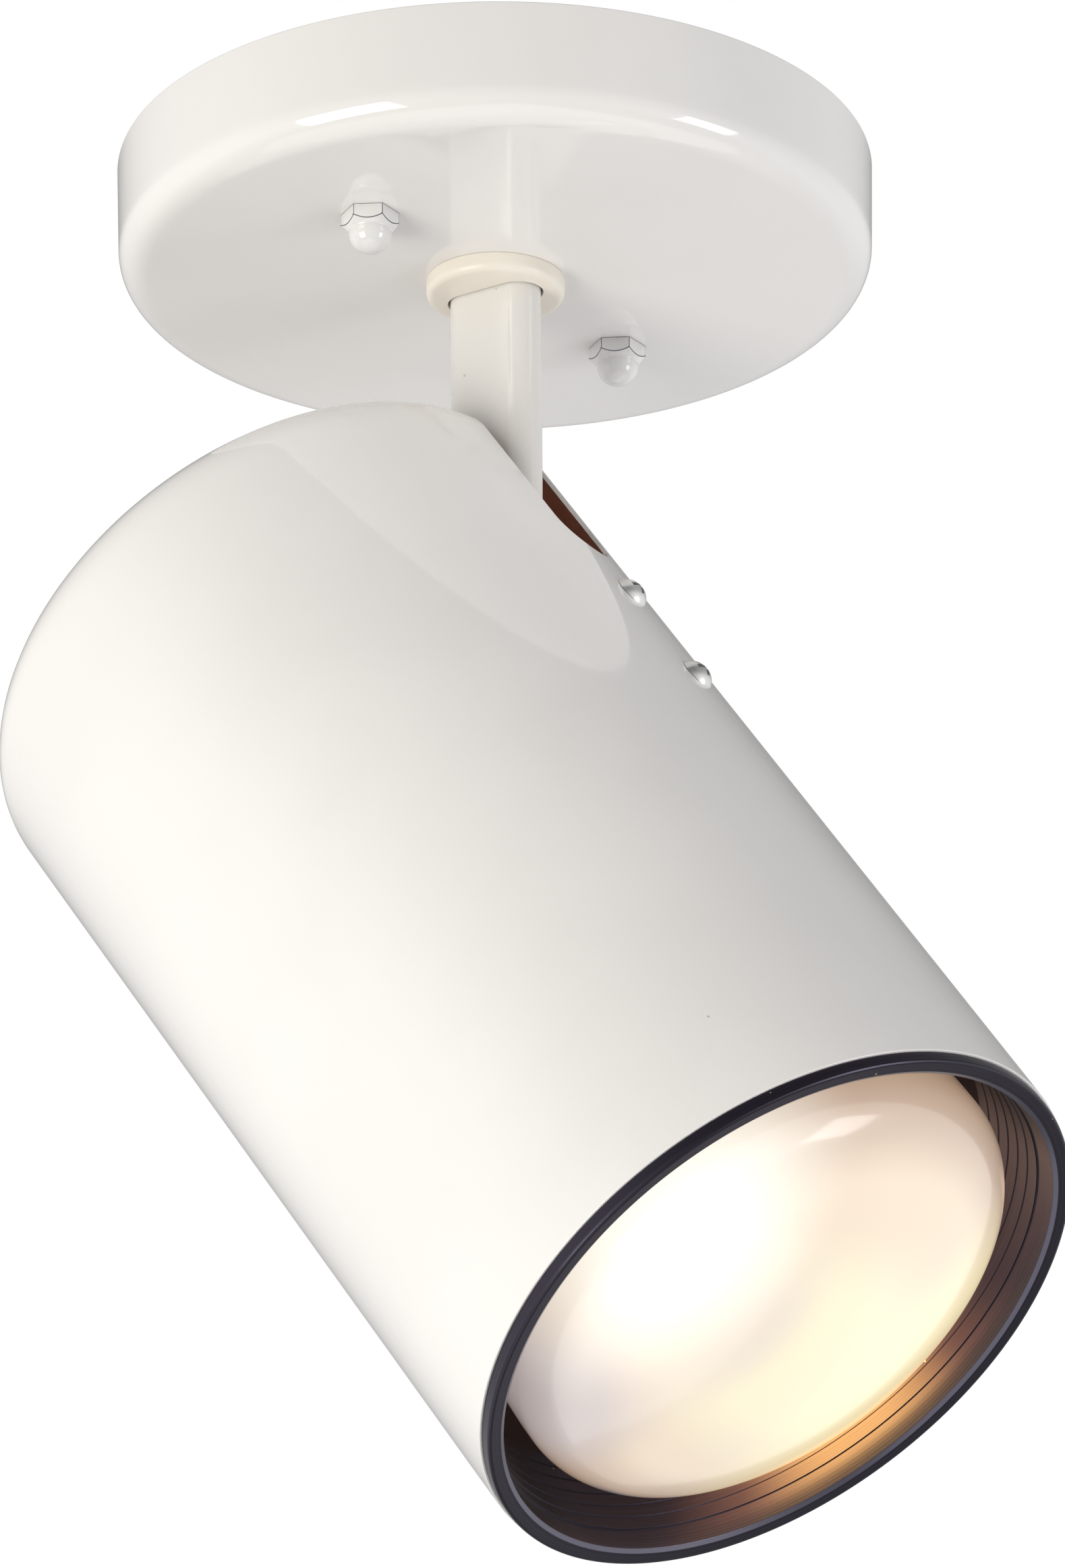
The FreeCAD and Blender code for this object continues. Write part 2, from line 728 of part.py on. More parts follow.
def make_socket_strap():
    """Bent strap from the clevis, beside the socket, to a foot behind it."""
    leg_start = strap_front - strap_leg
    outside = strap_inside + strap_sheet
    foot_back = socket_back - strap_sheet
    outer_bend = strap_bend + strap_sheet
    corners = [
        (leg_start, bracket_bore, 0),
        (strap_front, bracket_bore, outer_bend),
        (strap_front, strap_inside, outer_bend),
        (socket_back, strap_inside, strap_bend),
        (socket_back, -strap_foot_reach, 0),
        (foot_back, -strap_foot_reach, 0),
        (foot_back, outside, outer_bend),
        (strap_front - strap_sheet, outside, strap_bend),
        (strap_front - strap_sheet, strap_face, strap_bend),
        (leg_start, strap_face, 0),
    ]
    points = [local(-strap_width / 2, height, depth) for depth, height, rounding in corners]
    wire = rounded_path(points, [rounding for depth, height, rounding in corners], True)
    strap = Part.Face(wire).extrude(Vector(strap_width, 0, 0))
    strap = strap.common(Part.makeCylinder(bracket_bore, strap_front, Vector(0, 0, -strap_front)))
    screw_radius = bracket_screw_diameter / 2 + bracket_screw_gap
    strap = strap.cut(Part.makeCylinder(screw_radius, bracket_bore, local(0, outside, bracket_screw_second),
                                        Vector(0, -1, 0)))
    foot_radius = socket_screw_diameter / 2 + screw_hole_gap
    return strap.cut(Part.makeCylinder(foot_radius, strap_sheet, local(0, 0, socket_back)))


def make_socket_screw():
    """Pan-head screw from the strap's foot into the socket."""
    head_radius = pan_head_diameter / 2
    head = turned([(0, 0, 0), (head_radius, 0, 0), (head_radius, pan_head_height, pan_head_round),
                   (0, pan_head_height, 0)])
    length = strap_sheet + socket_screw_depth
    shank = Part.makeCylinder(socket_screw_diameter / 2, length, Vector(), Vector(0, 0, -1))
    return raised(head.fuse(shank).removeSplitter(), strap_sheet - socket_back)


def make_socket_body():
    """Ceramic socket: wide mouth, narrower back with a flat for each terminal."""
    mouth = -lamp_tip - socket_mouth
    step = -socket_seat - socket_skirt
    bore = socket_shell_radius + socket_bore_gap
    body = turned([
        (0, -socket_back, 0),
        (socket_back_radius, -socket_back, socket_round),
        (socket_back_radius, step, 0),
        (socket_radius, step, socket_round),
        (socket_radius, mouth, socket_round),
        (bore, mouth, 0),
        (bore, -socket_seat, 0),
        (0, -socket_seat, 0),
    ])
    for side in (-1, 1):
        depth = socket_radius - terminal_flat
        flat = Part.makeBox(depth, 2 * socket_radius, socket_floor + socket_skirt,
                            local(min(side * terminal_flat, side * socket_radius), socket_radius, -step))
        drill = Part.makeCylinder(terminal_screw_diameter / 2 + screw_hole_gap, terminal_screw_depth,
                                  local(side * terminal_flat, 0, terminal_depth), Vector(-side, 0, 0))
        body = body.cut([flat, drill])
    radius = socket_screw_diameter / 2 + screw_hole_gap
    drill = Part.makeCylinder(radius, socket_screw_depth, local(0, 0, socket_back), Vector(0, 0, -1))
    return body.cut(drill)


def make_socket_shell():
    """Screw shell inside the socket."""
    length = socket_mouth + contact_rise - socket_shell_inset
    tube = ring(socket_shell_radius - socket_shell_sheet, socket_shell_radius, length)
    return raised(tube, -socket_seat - length)


def make_socket_contact():
    """Sprung tongue on the socket's floor that meets the lamp's centre contact."""
    top = lamp_tip - contact_gap
    half = lamp_contact_radius
    corners = [
        (socket_seat, contact_reach), (socket_seat, half + contact_rise), (top - contact_sheet, half),
        (top - contact_sheet, -half), (top, -half), (top, half + contact_sheet / 2),
        (socket_seat + contact_sheet, half + contact_rise + contact_sheet / 2),
        (socket_seat + contact_sheet, contact_reach),
    ]
    points = [local(-contact_width / 2, height, depth) for depth, height in corners]
    return Part.Face(Part.makePolygon(points + points[:1])).extrude(Vector(contact_width, 0, 0))


def make_terminal_screws():
    """A screw on each side of the socket's back."""
    screws = []
    for side in (-1, 1):
        head_radius = terminal_head_diameter / 2
        head = turned([(0, 0, 0), (head_radius, 0, 0), (head_radius, terminal_head_height, pan_head_round / 2),
                       (0, terminal_head_height, 0)])
        shank = Part.makeCylinder(terminal_screw_diameter / 2, terminal_screw_depth, Vector(), Vector(0, 0, -1))
        screw = on_side(head.fuse(shank).removeSplitter(), side)
        screw.translate(local(side * terminal_flat, 0, terminal_depth))
        screws.append(screw)
    return Part.makeCompound(screws)


def lamp_form(inset):
    """Lamp envelope, set in by a thickness all over, with its neck along the can's axis."""
    face = lamp_face_radius - inset
    shoulder = lamp_shoulder_radius - inset
    widest = lamp_radius - inset
    flank = lamp_flank_radius - inset
    curve = lamp_neck_curve + inset
    neck = lamp_neck_radius - inset

    def on_arc(radius, centre, angle):
        return Vector(centre[0] + radius * math.cos(angle), 0, centre[1] + radius * math.sin(angle))

    ahead = -math.pi / 2
    face_centre = (0, lamp_face_radius - lamp_apex)
    shoulder_centre = (widest - shoulder, -lamp_equator)
    flank_centre = (widest - flank, -lamp_equator)
    neck_centre = (neck + curve, -lamp_neck_end)
    crown = on_arc(face, face_centre, ahead)
    rim = on_arc(face, face_centre, ahead + lamp_meet)
    side = on_arc(shoulder, shoulder_centre, 0)
    flank_end = on_arc(flank, flank_centre, lamp_slope)
    cone_end = on_arc(curve, neck_centre, math.pi + lamp_slope)
    neck_end = on_arc(curve, neck_centre, math.pi)
    middle = Vector(0, 0, neck_end.z)
    edges = [
        Part.Arc(crown, on_arc(face, face_centre, ahead + lamp_meet / 2), rim),
        Part.Arc(rim, on_arc(shoulder, shoulder_centre, (ahead + lamp_meet) / 2), side),
        Part.Arc(side, on_arc(flank, flank_centre, lamp_slope / 2), flank_end),
        Part.LineSegment(flank_end, cone_end),
        Part.Arc(cone_end, on_arc(curve, neck_centre, math.pi + lamp_slope / 2), neck_end),
        Part.LineSegment(neck_end, middle),
        Part.LineSegment(middle, crown),
    ]
    wire = Part.Wire([edge.toShape() for edge in edges])
    return Part.Face(wire).revolve(Vector(), Vector(0, 0, 1), 360)


def leaning(shape):
    """The shape, leaning a little to one side in the socket as a screwed-in lamp does."""
    shape.rotate(local(0, 0, lamp_tip), Vector(0, 1, 0), -lamp_lean)
    return shape


def make_lamp_bulb():
    """Blown glass envelope with an open neck."""
    return leaning(lamp_form(0).cut(lamp_form(lamp_glass)))


def make_lamp_base():
    """Screw base: a shell round the glass neck that narrows to the insulator."""
    top = -lamp_neck_end - lamp_base_lap
    end = -lamp_tip - lamp_contact_height - lamp_insulator_height
    inner = lamp_base_radius - lamp_base_sheet
    inner_end = lamp_base_end_radius - lamp_base_sheet
    shell = turned([
        (lamp_base_radius, top, 0),
        (lamp_base_radius, end - lamp_base_taper, 0),
        (lamp_base_end_radius, end, 0),
        (inner_end, end, 0),
        (inner, end - lamp_base_taper, 0),
        (inner, top, 0),
    ])
    return leaning(shell)


def make_lamp_insulator():
    """Glass disc between the screw shell and the centre contact."""
    start = -lamp_tip - lamp_contact_height - lamp_insulator_height
    disc = turned([(0, start, 0), (lamp_base_end_radius, start, 0),
                   (lamp_insulator_end_radius, start + lamp_insulator_height, 0),
                   (0, start + lamp_insulator_height, 0)])
    return leaning(disc)


def make_lamp_contact():
    """Solder button at the end of the base."""
    start = -lamp_tip - lamp_contact_height
    button = turned([(0, start, 0), (lamp_contact_radius, start, 0),
                     (lamp_contact_radius, -lamp_tip, lamp_contact_height / 2), (0, -lamp_tip, 0)])
    return leaning(button)


save("canopy", make_canopy())
save("crossbar", make_crossbar())
save("canopy_studs", at_studs(make_stud()))
save("stud_nuts", at_studs(make_stud_nut()))
save("acorn_nuts", at_studs(make_acorn_nut()))
save("ground_screw", make_ground_screw())
save("stop_pin", make_stop_pin())

save_stem("stem", make_stem())
save_stem("swivel_bush", make_swivel_bush())
save_stem("spring_washer", make_spring_washer())
save_stem("stop_washer", make_stop_washer())
save_stem("lead_bushing", make_lead_bushing())
save_stem("black_lead", cord(lead_route(1)))
save_stem("white_lead", cord(lead_route(-1)))

save_head("shade", make_shade())
save_head("baffle", make_baffle())
save_head("pivot_bracket", make_pivot_bracket())
save_head("pivot_screw", make_pivot_screw())
save_head("pivot_nut", make_pivot_nut())
save_head("pivot_lock_washer", make_pivot_lock_washer())
save_head("friction_washers", make_friction_washers())
save_head("bracket_screws", make_bracket_screws())
save_head("bracket_nuts", make_bracket_nuts())
save_head("socket_strap", make_socket_strap())
save_head("socket_screw", make_socket_screw())
save_head("socket_body", make_socket_body())
save_head("socket_shell", make_socket_shell())
save_head("socket_contact", make_socket_contact())
save_head("terminal_screws", make_terminal_screws())
save_head("lamp_bulb", make_lamp_bulb())
save_head("lamp_base", make_lamp_base())
save_head("lamp_insulator", make_lamp_insulator())
save_head("lamp_contact", make_lamp_contact())
save_stem("black_tail", cord(tail_route(1)))
save_stem("white_tail", cord(tail_route(-1)))
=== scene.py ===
"""Dressed model of an adjustable ceiling spotlight: canopy, swivelling stem, tilting can and reflector lamp.

Metres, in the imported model's own frame: the origin is the centre of the ceiling plane and +Z points up.
Sizes in the classes are in millimetres and are brought to metres where a mesh is made.
"""
import logging
import math
from dataclasses import dataclass
from enum import Enum
from typing import Optional, Sequence, Union

import bpy
from mathutils import Matrix, Vector


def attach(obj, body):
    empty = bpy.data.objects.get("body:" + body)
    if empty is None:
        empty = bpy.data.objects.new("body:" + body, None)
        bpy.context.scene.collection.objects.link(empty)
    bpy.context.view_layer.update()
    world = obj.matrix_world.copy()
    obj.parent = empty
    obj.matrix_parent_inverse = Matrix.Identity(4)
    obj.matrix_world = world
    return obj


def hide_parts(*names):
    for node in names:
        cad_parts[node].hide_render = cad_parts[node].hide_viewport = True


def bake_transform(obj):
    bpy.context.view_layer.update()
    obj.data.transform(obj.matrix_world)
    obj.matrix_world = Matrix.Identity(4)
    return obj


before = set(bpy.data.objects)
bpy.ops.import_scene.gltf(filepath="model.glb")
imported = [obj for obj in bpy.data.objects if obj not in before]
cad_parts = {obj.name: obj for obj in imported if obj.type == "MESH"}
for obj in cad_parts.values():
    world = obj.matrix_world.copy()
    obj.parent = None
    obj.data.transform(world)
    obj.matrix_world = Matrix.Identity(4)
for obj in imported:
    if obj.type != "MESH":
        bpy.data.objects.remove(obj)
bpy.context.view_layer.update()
log = logging.getLogger("spotlight")

MM = 0.001
# Distance of a guard point from its arc, as a share of the rounding, so that the flats shade flat.
GUARD = 0.3
# How far a blank or a cut runs past the finished piece, in millimetres.
CLEAR = 1.0

Colour = tuple[float, float, float]
Corner = tuple[float, float, float]
Place = tuple[float, float]
Point = tuple[float, float, float]
Node = bpy.types.Object


class Body(Enum):
    """The bodies that a piece can ride on."""

    CANOPY = "canopy"
    STEM = "stem"
    HEAD = "head"


class Carve(Enum):
    """What a second solid does to the first."""

    CUT = "DIFFERENCE"
    JOIN = "UNION"
    KEEP = "INTERSECT"


class Plane(Enum):
    """The plane that an outline is drawn in, by the axis that it is extruded along."""

    ALONG_X = 0
    ALONG_Y = 1
    ALONG_Z = 2


class Signal:
    """A shader socket that takes part in arithmetic."""

    def __init__(self, graph: "Graph", socket: bpy.types.NodeSocket) -> None:
        """Wrap one output socket of a graph."""
        self.graph = graph
        self.socket = socket

    def _math(self, operation: str, left: "Term", right: "Term") -> "Signal":
        """Add one Math node for two terms."""
        return self.graph.node("ShaderNodeMath", {"operation": operation}, {0: left, 1: right})

    def __add__(self, other: "Term") -> "Signal":
        """Sum of two terms."""
        return self._math("ADD", self, other)

    __radd__ = __add__

    def __sub__(self, other: "Term") -> "Signal":
        """Difference of two terms."""
        return self._math("SUBTRACT", self, other)

    def __rsub__(self, other: "Term") -> "Signal":
        """Difference with the signal on the right."""
        return self._math("SUBTRACT", other, self)

    def __mul__(self, other: "Term") -> "Signal":
        """Product of two terms."""
        return self._math("MULTIPLY", self, other)

    __rmul__ = __mul__

    def __pow__(self, other: "Term") -> "Signal":
        """Power of the signal."""
        return self._math("POWER", self, other)


Term = Union[float, Signal]


class Graph:
    """The node tree of one material or of the world."""

    def __init__(self, tree: bpy.types.NodeTree) -> None:
        """Empty a tree and take it over."""
        self.tree = tree
        self.tree.nodes.clear()

    def node(self, kind: str, settings: Optional[dict] = None, inputs: Optional[dict] = None,
             output: Union[int, str] = 0) -> Signal:
        """Add one node.

        Args:
            kind: The node's type.
            settings: Its properties, such as a Math node's operation.
            inputs: Values or signals by socket name or number.
            output: The output socket to return.

        Returns:
            The chosen output as a signal.
        """
        made = self.tree.nodes.new(kind)
        for key, value in (settings or {}).items():
            setattr(made, key, value)
        for key, value in (inputs or {}).items():
            if isinstance(value, Signal):
                self.tree.links.new(value.socket, made.inputs[key])
            else:
                made.inputs[key].default_value = value
        return Signal(self, made.outputs[output] if made.outputs else None)

    def place(self, undo: Optional[Matrix] = None) -> Signal:
        """Object coordinates, turned back into a piece's own frame if its placing matrix is given."""
        raw = self.node("ShaderNodeTexCoord", output="Object")
        if undo is None:
            return raw
        back = undo.inverted()
        return self.node("ShaderNodeMapping", {"vector_type": "POINT"},
                         {"Vector": raw, "Location": back.to_translation(), "Rotation": back.to_euler()})

    def axes(self, place: Signal) -> tuple[Signal, Signal, Signal]:
        """The three parts of a vector signal."""
        parts = self.node("ShaderNodeSeparateXYZ", inputs={0: place}).socket.node
        return tuple(Signal(self, parts.outputs[k]) for k in range(3))

    def rays(self) -> tuple[Signal, Signal, Signal]:
        """Three signals that are 1 for a camera ray, a mirrored ray and a ray through glass."""
        path = self.node("ShaderNodeLightPath").socket.node
        names = ("Is Camera Ray", "Is Glossy Ray", "Is Transmission Ray")
        return tuple(Signal(self, path.outputs[name]) for name in names)

    def along(self, vector: Signal, axis: Colour) -> Signal:
        """Length of a vector signal along an axis."""
        return self.node("ShaderNodeVectorMath", {"operation": "DOT_PRODUCT"}, {0: vector, 1: axis}, "Value")

    def noise(self, place: Signal, scale: float, detail: float = 2.0,
              stretch: Optional[Colour] = None) -> Signal:
        """Fractal noise from 0 to 1.

        Args:
            place: The coordinates that it reads.
            scale: Cells for each metre.
            detail: Octaves.
            stretch: Factors on the three axes, for a pattern with a grain.

        Returns:
            The noise value.
        """
        if stretch is not None:
            settings = {"vector_type": "POINT"}
            place = self.node("ShaderNodeMapping", settings, {"Vector": place, "Scale": stretch})
        return self.node("ShaderNodeTexNoise", inputs={"Vector": place, "Scale": scale, "Detail": detail})

    def specks(self, place: Signal, scale: float, rarity: float, radius: float) -> Signal:
        """Scattered small specks.

        Args:
            place: The coordinates that they are scattered over.
            scale: Cells for each metre, with one speck at most in a cell.
            rarity: Share of the cells that stay empty.
            radius: Radius of a speck, as a share of a cell.

        Returns:
            A signal that is 1 in a speck.
        """
        cells = self.node("ShaderNodeTexVoronoi", inputs={"Vector": place, "Scale": scale}).socket.node
        chosen = self.node("ShaderNodeSeparateColor", inputs={0: Signal(self, cells.outputs["Color"])})
        inner, outer = 0.7 * radius, 1.2 * radius
        near = self.ramp(Signal(self, cells.outputs["Distance"]), inner, outer, 1.0, 0.0)
        return near * self.ramp(chosen, rarity, rarity + 0.02)

    def ramp(self, value: Term, low: float, high: float, start: float = 0.0, end: float = 1.0) -> Signal:
        """Smooth step of a value between two levels."""
        return self.node("ShaderNodeMapRange", {"interpolation_type": "SMOOTHSTEP"},
                         {"Value": value, "From Min": low, "From Max": high, "To Min": start, "To Max": end})

    def ramp_mm(self, value: Term, span: Place, start: float = 0.0, end: float = 1.0) -> Signal:
        """Smooth step of a length between two lengths in millimetres."""
        return self.ramp(value, span[0] * MM, span[1] * MM, start, end)

    def mix(self, share: Term, first: Union[Colour, Signal], second: Union[Colour, Signal]) -> Signal:
        """Mix of two colours."""
        first, second = (c if isinstance(c, Signal) else (*c, 1.0) for c in (first, second))
        return self.node("ShaderNodeMix", {"data_type": "RGBA"}, {0: share, 6: first, 7: second}, 2)

    def bump(self, height: Signal, distance: float, strength: float,
             under: Optional[Signal] = None) -> Signal:
        """Normal that is tilted by a height signal, on top of another bump if there is one."""
        inputs = {"Height": height, "Distance": distance, "Strength": strength}
        if under is not None:
            inputs["Normal"] = under
        return self.node("ShaderNodeBump", inputs=inputs)

    def shade(self, sockets: dict) -> None:
        """Finish a material with one Principled shader."""
        surface = self.node("ShaderNodeBsdfPrincipled", inputs=sockets)
        self.node("ShaderNodeOutputMaterial", inputs={"Surface": surface})


@dataclass(frozen=True)
class Finish:
    """A surface finish of one colour."""

    name: str
    colour: Colour
    roughness: float

    def graph(self) -> tuple[bpy.types.Material, Graph]:
        """A new material with an empty tree."""
        material = bpy.data.materials.new(self.name)
        material.use_nodes = True
        return material, Graph(material.node_tree)


@dataclass(frozen=True)
class Enamel(Finish):
    """Glossy stove enamel on drawn sheet: slow waves, fine peel and a few dust nibs."""

    nib_scale: float = 55.0
    nib_rarity: float = 0.80
    nib_radius: float = 0.014
    nib_weight: float = 0.55
    nib_colour: Colour = (0.30, 0.27, 0.24)
    deep: float = 0.97
    cloud_scale: float = 22.0
    wave_scale: float = 38.0
    wave_height: float = 0.0012
    peel_scale: float = 900.0
    peel_height: float = 0.00002
    blotch_scale: float = 140.0

    def material(self) -> bpy.types.Material:
        """Build the material."""
        material, graph = self.graph()
        place = graph.place()
        cloud = graph.noise(place, self.cloud_scale, 3.0)
        deep = tuple(part * self.deep for part in self.colour)
        tone = graph.mix(graph.ramp(cloud, 0.35, 0.65), deep, self.colour)
        nib = graph.specks(place, self.nib_scale, self.nib_rarity, self.nib_radius) * self.nib_weight
        wave = graph.bump(graph.noise(place, self.wave_scale, 1.0), self.wave_height, 0.10)
        graph.shade({
            "Base Color": graph.mix(nib, tone, self.nib_colour),
            "Roughness": self.roughness + 0.05 * graph.noise(place, self.blotch_scale),
            "Coat Weight": 0.5,
            "Coat Roughness": 0.03,
            "Normal": graph.bump(graph.noise(place, self.peel_scale, 1.0), self.peel_height, 0.25, wave),
        })
        return material


@dataclass(frozen=True)
class Primer(Finish):
    """Thin brown primer inside the can, with bare scuffs, and darker towards the mouth: painted shade round
    the lamp's flank and behind the ring.
    """

    placed: Matrix
    scuff: Colour = (0.24, 0.20, 0.17)
    scuff_scale: float = 90.0
    scuff_weight: float = 0.5
    # Painted shade: the wall grows dark from 85 to 130 mm forward of the back face, round the lamp's flank
    # and behind the ring.
    painted_shade: Colour = (0.035, 0.028, 0.025)
    painted_shade_span: Place = (-130.0, -85.0)
    grain_scale: float = 700.0
    grain_height: float = 0.00004

    def material(self) -> bpy.types.Material:
        """Build the material."""
        material, graph = self.graph()
        place = graph.place()
        depth = graph.axes(graph.place(self.placed))[2]
        worn = graph.ramp(graph.noise(place, self.scuff_scale, 4.0), 0.50, 0.72)
        paint = graph.mix(worn * self.scuff_weight, self.colour, self.scuff)
        graph.shade({
            # Painted shade towards the mouth of the can.
            "Base Color": graph.mix(graph.ramp_mm(depth, self.painted_shade_span, 1.0, 0.0), paint, self.painted_shade),
            "Roughness": self.roughness - 0.15 * worn,
            "Normal": graph.bump(graph.noise(place, self.grain_scale), self.grain_height, 0.3),
        })
        return material


@dataclass(frozen=True)
class Moulded(Finish):
    """Moulded plastic or fibre with a fine grain and a slight change of tone."""

    second: Colour
    grain: float = 0.2
    grain_scale: float = 1600.0
    grain_height: float = 0.00002
    grain_dulls: float = 0.08
    stretch: Optional[Colour] = None
    cloud_scale: float = 120.0
    cloud_span: Place = (0.30, 0.70)
    metallic: float = 0.0

    def material(self) -> bpy.types.Material:
        """Build the material."""
        material, graph = self.graph()
        place = graph.place()
        cloud = graph.ramp(graph.noise(place, self.cloud_scale, 3.0), *self.cloud_span)
        grain = graph.noise(place, self.grain_scale, stretch=self.stretch)
        graph.shade({
            "Base Color": graph.mix(cloud, self.colour, self.second),
            "Roughness": self.roughness + self.grain_dulls * grain,
            "Metallic": self.metallic,
            "Normal": graph.bump(grain, self.grain_height, self.grain),
        })
        return material


@dataclass(frozen=True)
class Plated(Moulded):
    """Plated or bare metal with drawn lines and a mottled skin."""

    grain_scale: float = 2600.0
    grain_dulls: float = 0.12
    stretch: Optional[Colour] = (1.0, 1.0, 0.04)
    cloud_scale: float = 260.0
    cloud_span: Place = (0.35, 0.65)
    metallic: float = 1.0


@dataclass(frozen=True)
class Anodised(Finish):
    """Black anodised aluminium that keeps the lathe's turning lines and holds some dust."""

    placed: Matrix
    pale: float = 1.35
    line_scale: float = 4200.0
    line_height: float = 0.00003
    cloud_scale: float = 160.0
    dust: Colour = (0.75, 0.55, 0.40)
    dust_scale: float = 330.0
    dust_rarity: float = 0.86
    dust_radius: float = 0.06

    def material(self) -> bpy.types.Material:
        """Build the material."""
        material, graph = self.graph()
        place = graph.place(self.placed)
        east, north, depth = graph.axes(place)
        reach = (east * east + north * north) ** 0.5
        lathe = graph.node("ShaderNodeCombineXYZ", inputs={0: reach, 1: depth, 2: 0.0})
        turning = graph.noise(lathe, self.line_scale, 3.0)
        pale = tuple(part * self.pale for part in self.colour)
        tone = graph.mix(graph.ramp(turning, 0.35, 0.70), self.colour, pale)
        dusty = graph.specks(place, self.dust_scale, self.dust_rarity, self.dust_radius)
        graph.shade({
            "Base Color": graph.mix(dusty, tone, self.dust),
            "Roughness": self.roughness + 0.10 * turning + 0.06 * graph.noise(place, self.cloud_scale, 3.0),
            "Metallic": 0.9,
            "Normal": graph.bump(turning, self.line_height, 0.2),
        })
        return material


@dataclass(frozen=True)
class Patch:
    """Soft round patch of light on the lamp, in millimetres across its face."""

    colour: Colour
    centre: Place
    inner: float
    outer: float
    squeeze: float = 1.0
    clouded: bool = False

    def mask(self, graph: Graph, east: Signal, north: Signal) -> Signal:
        """Where the patch lies.

        Args:
            graph: The tree that it is added to.
            east: First axis across the lamp's face.
            north: Second axis across the lamp's face, on which the patch is squeezed.

        Returns:
            A signal that is 1 in the patch and fades out from its inner to its outer radius.
        """
        across = east - self.centre[0] * MM
        along = (north - self.centre[1] * MM) * self.squeeze
        return graph.ramp_mm((across * across + along * along) ** 0.5, (self.inner, self.outer), 1.0, 0.0)


@dataclass(frozen=True)
class Glow(Finish):
    """Frosted face of a reflector lamp, lit from inside by a filament that sits off the middle."""

    placed: Matrix
    blush: Colour = (0.72, 0.57, 0.41)
    rim: Colour = (0.46, 0.31, 0.21)
    rim_span: Place = (32.0, 43.0)
    cream: Patch = Patch((0.81, 0.74, 0.49), (0.0, 2.0), 14.0, 36.0, 1.25)
    mist: Patch = Patch((0.45, 0.38, 0.37), (-30.0, 38.0), 8.0, 26.0)
    pink: Patch = Patch((0.66, 0.55, 0.46), (-18.0, 4.0), 2.0, 14.0, 0.5, clouded=True)
    straw: Patch = Patch((1.12, 0.96, 0.53), (41.0, 7.0), 10.0, 38.0, 0.6)
    hot: Patch = Patch((1.10, 1.04, 0.92), (-42.0, -4.0), 2.0, 28.0, 0.6)
    shadow: Colour = (0.16, 0.14, 0.16)
    flank: Patch = Patch((1.45, 0.94, 0.68), (46.0, -10.0), 14.0, 66.0, 0.8)
    ember: Patch = Patch((7.5, 3.6, 1.7), (45.4, 14.0), 8.0, 34.0)
    amber: Patch = Patch((22.5, 12.6, 3.3), (45.4, 14.0), 4.0, 21.0)
    away: Colour = (0.974, 0.226, 0.0)
    away_span: Place = (6.0, 16.0)
    side_span: Place = (42.3, 43.6)
    back_span: Place = (-160.0, -152.0)
    neck: Colour = (5.4, 3.7, 2.6)
    neck_span: Place = (-108.0, -98.0)
    cloud_scale: float = 26.0
    frost_scale: float = 1400.0
    frost_height: float = 0.00001
    speck: Colour = (0.9, 0.9, 0.88)
    speck_scale: float = 130.0
    speck_rarity: float = 0.90
    speck_radius: float = 0.022

    def light(self, graph: Graph, place: Signal) -> Signal:
        """Colour of the light on the face, the flank and the neck.

        Args:
            graph: The tree that it is added to.
            place: Coordinates in the lamp's own frame.

        Returns:
            The colour that the lamp gives off.
        """
        east, north, depth = graph.axes(place)
        cloud = graph.noise(place, self.cloud_scale)
        reach = (east * east + north * north) ** 0.5
        light = graph.mix(graph.ramp_mm(reach, self.rim_span), self.blush, self.rim)
        for patch in (self.cream, self.mist, self.pink, self.straw, self.hot):
            mask = patch.mask(graph, east, north)
            light = graph.mix(mask * (0.4 + cloud) if patch.clouded else mask, light, patch.colour)
        side = self.shadow
        for patch in (self.flank, self.ember, self.amber):
            side = graph.mix(patch.mask(graph, east, north), side, patch.colour)
        turned_away = graph.ramp_mm(graph.along(place, self.away), self.away_span)
        light = graph.mix(graph.ramp_mm(reach, self.side_span) * turned_away, light, side)
        light = graph.mix(graph.ramp_mm(depth, self.back_span), light, self.shadow)
        return graph.mix(graph.ramp_mm(depth, self.neck_span), light, self.neck)

    def material(self) -> bpy.types.Material:
        """Build the material."""
        material, graph = self.graph()
        place = graph.place(self.placed)
        frost = graph.noise(place, self.frost_scale)
        specks = graph.specks(place, self.speck_scale, self.speck_rarity, self.speck_radius)
        graph.shade({
            "Base Color": graph.mix(specks, self.colour, self.speck),
            "Roughness": self.roughness + 0.10 * frost,
            "Coat Weight": 1.0,
            "Coat Roughness": 0.12,
            "Emission Color": self.light(graph, place),
            "Emission Strength": 1.0,
            "Normal": graph.bump(frost, self.frost_height, 0.15),
        })
        return material


def trim_of(corners: Sequence[Corner], index: int) -> float:
    """How much of each neighbouring run the rounding of one corner takes."""
    before, corner, after = corners[index - 1], corners[index], corners[(index + 1) % len(corners)]
    if not corner[2]:
        return 0.0
    spot = Vector(corner[:2])
    return corner[2] / math.tan((Vector(before[:2]) - spot).angle(Vector(after[:2]) - spot) / 2)


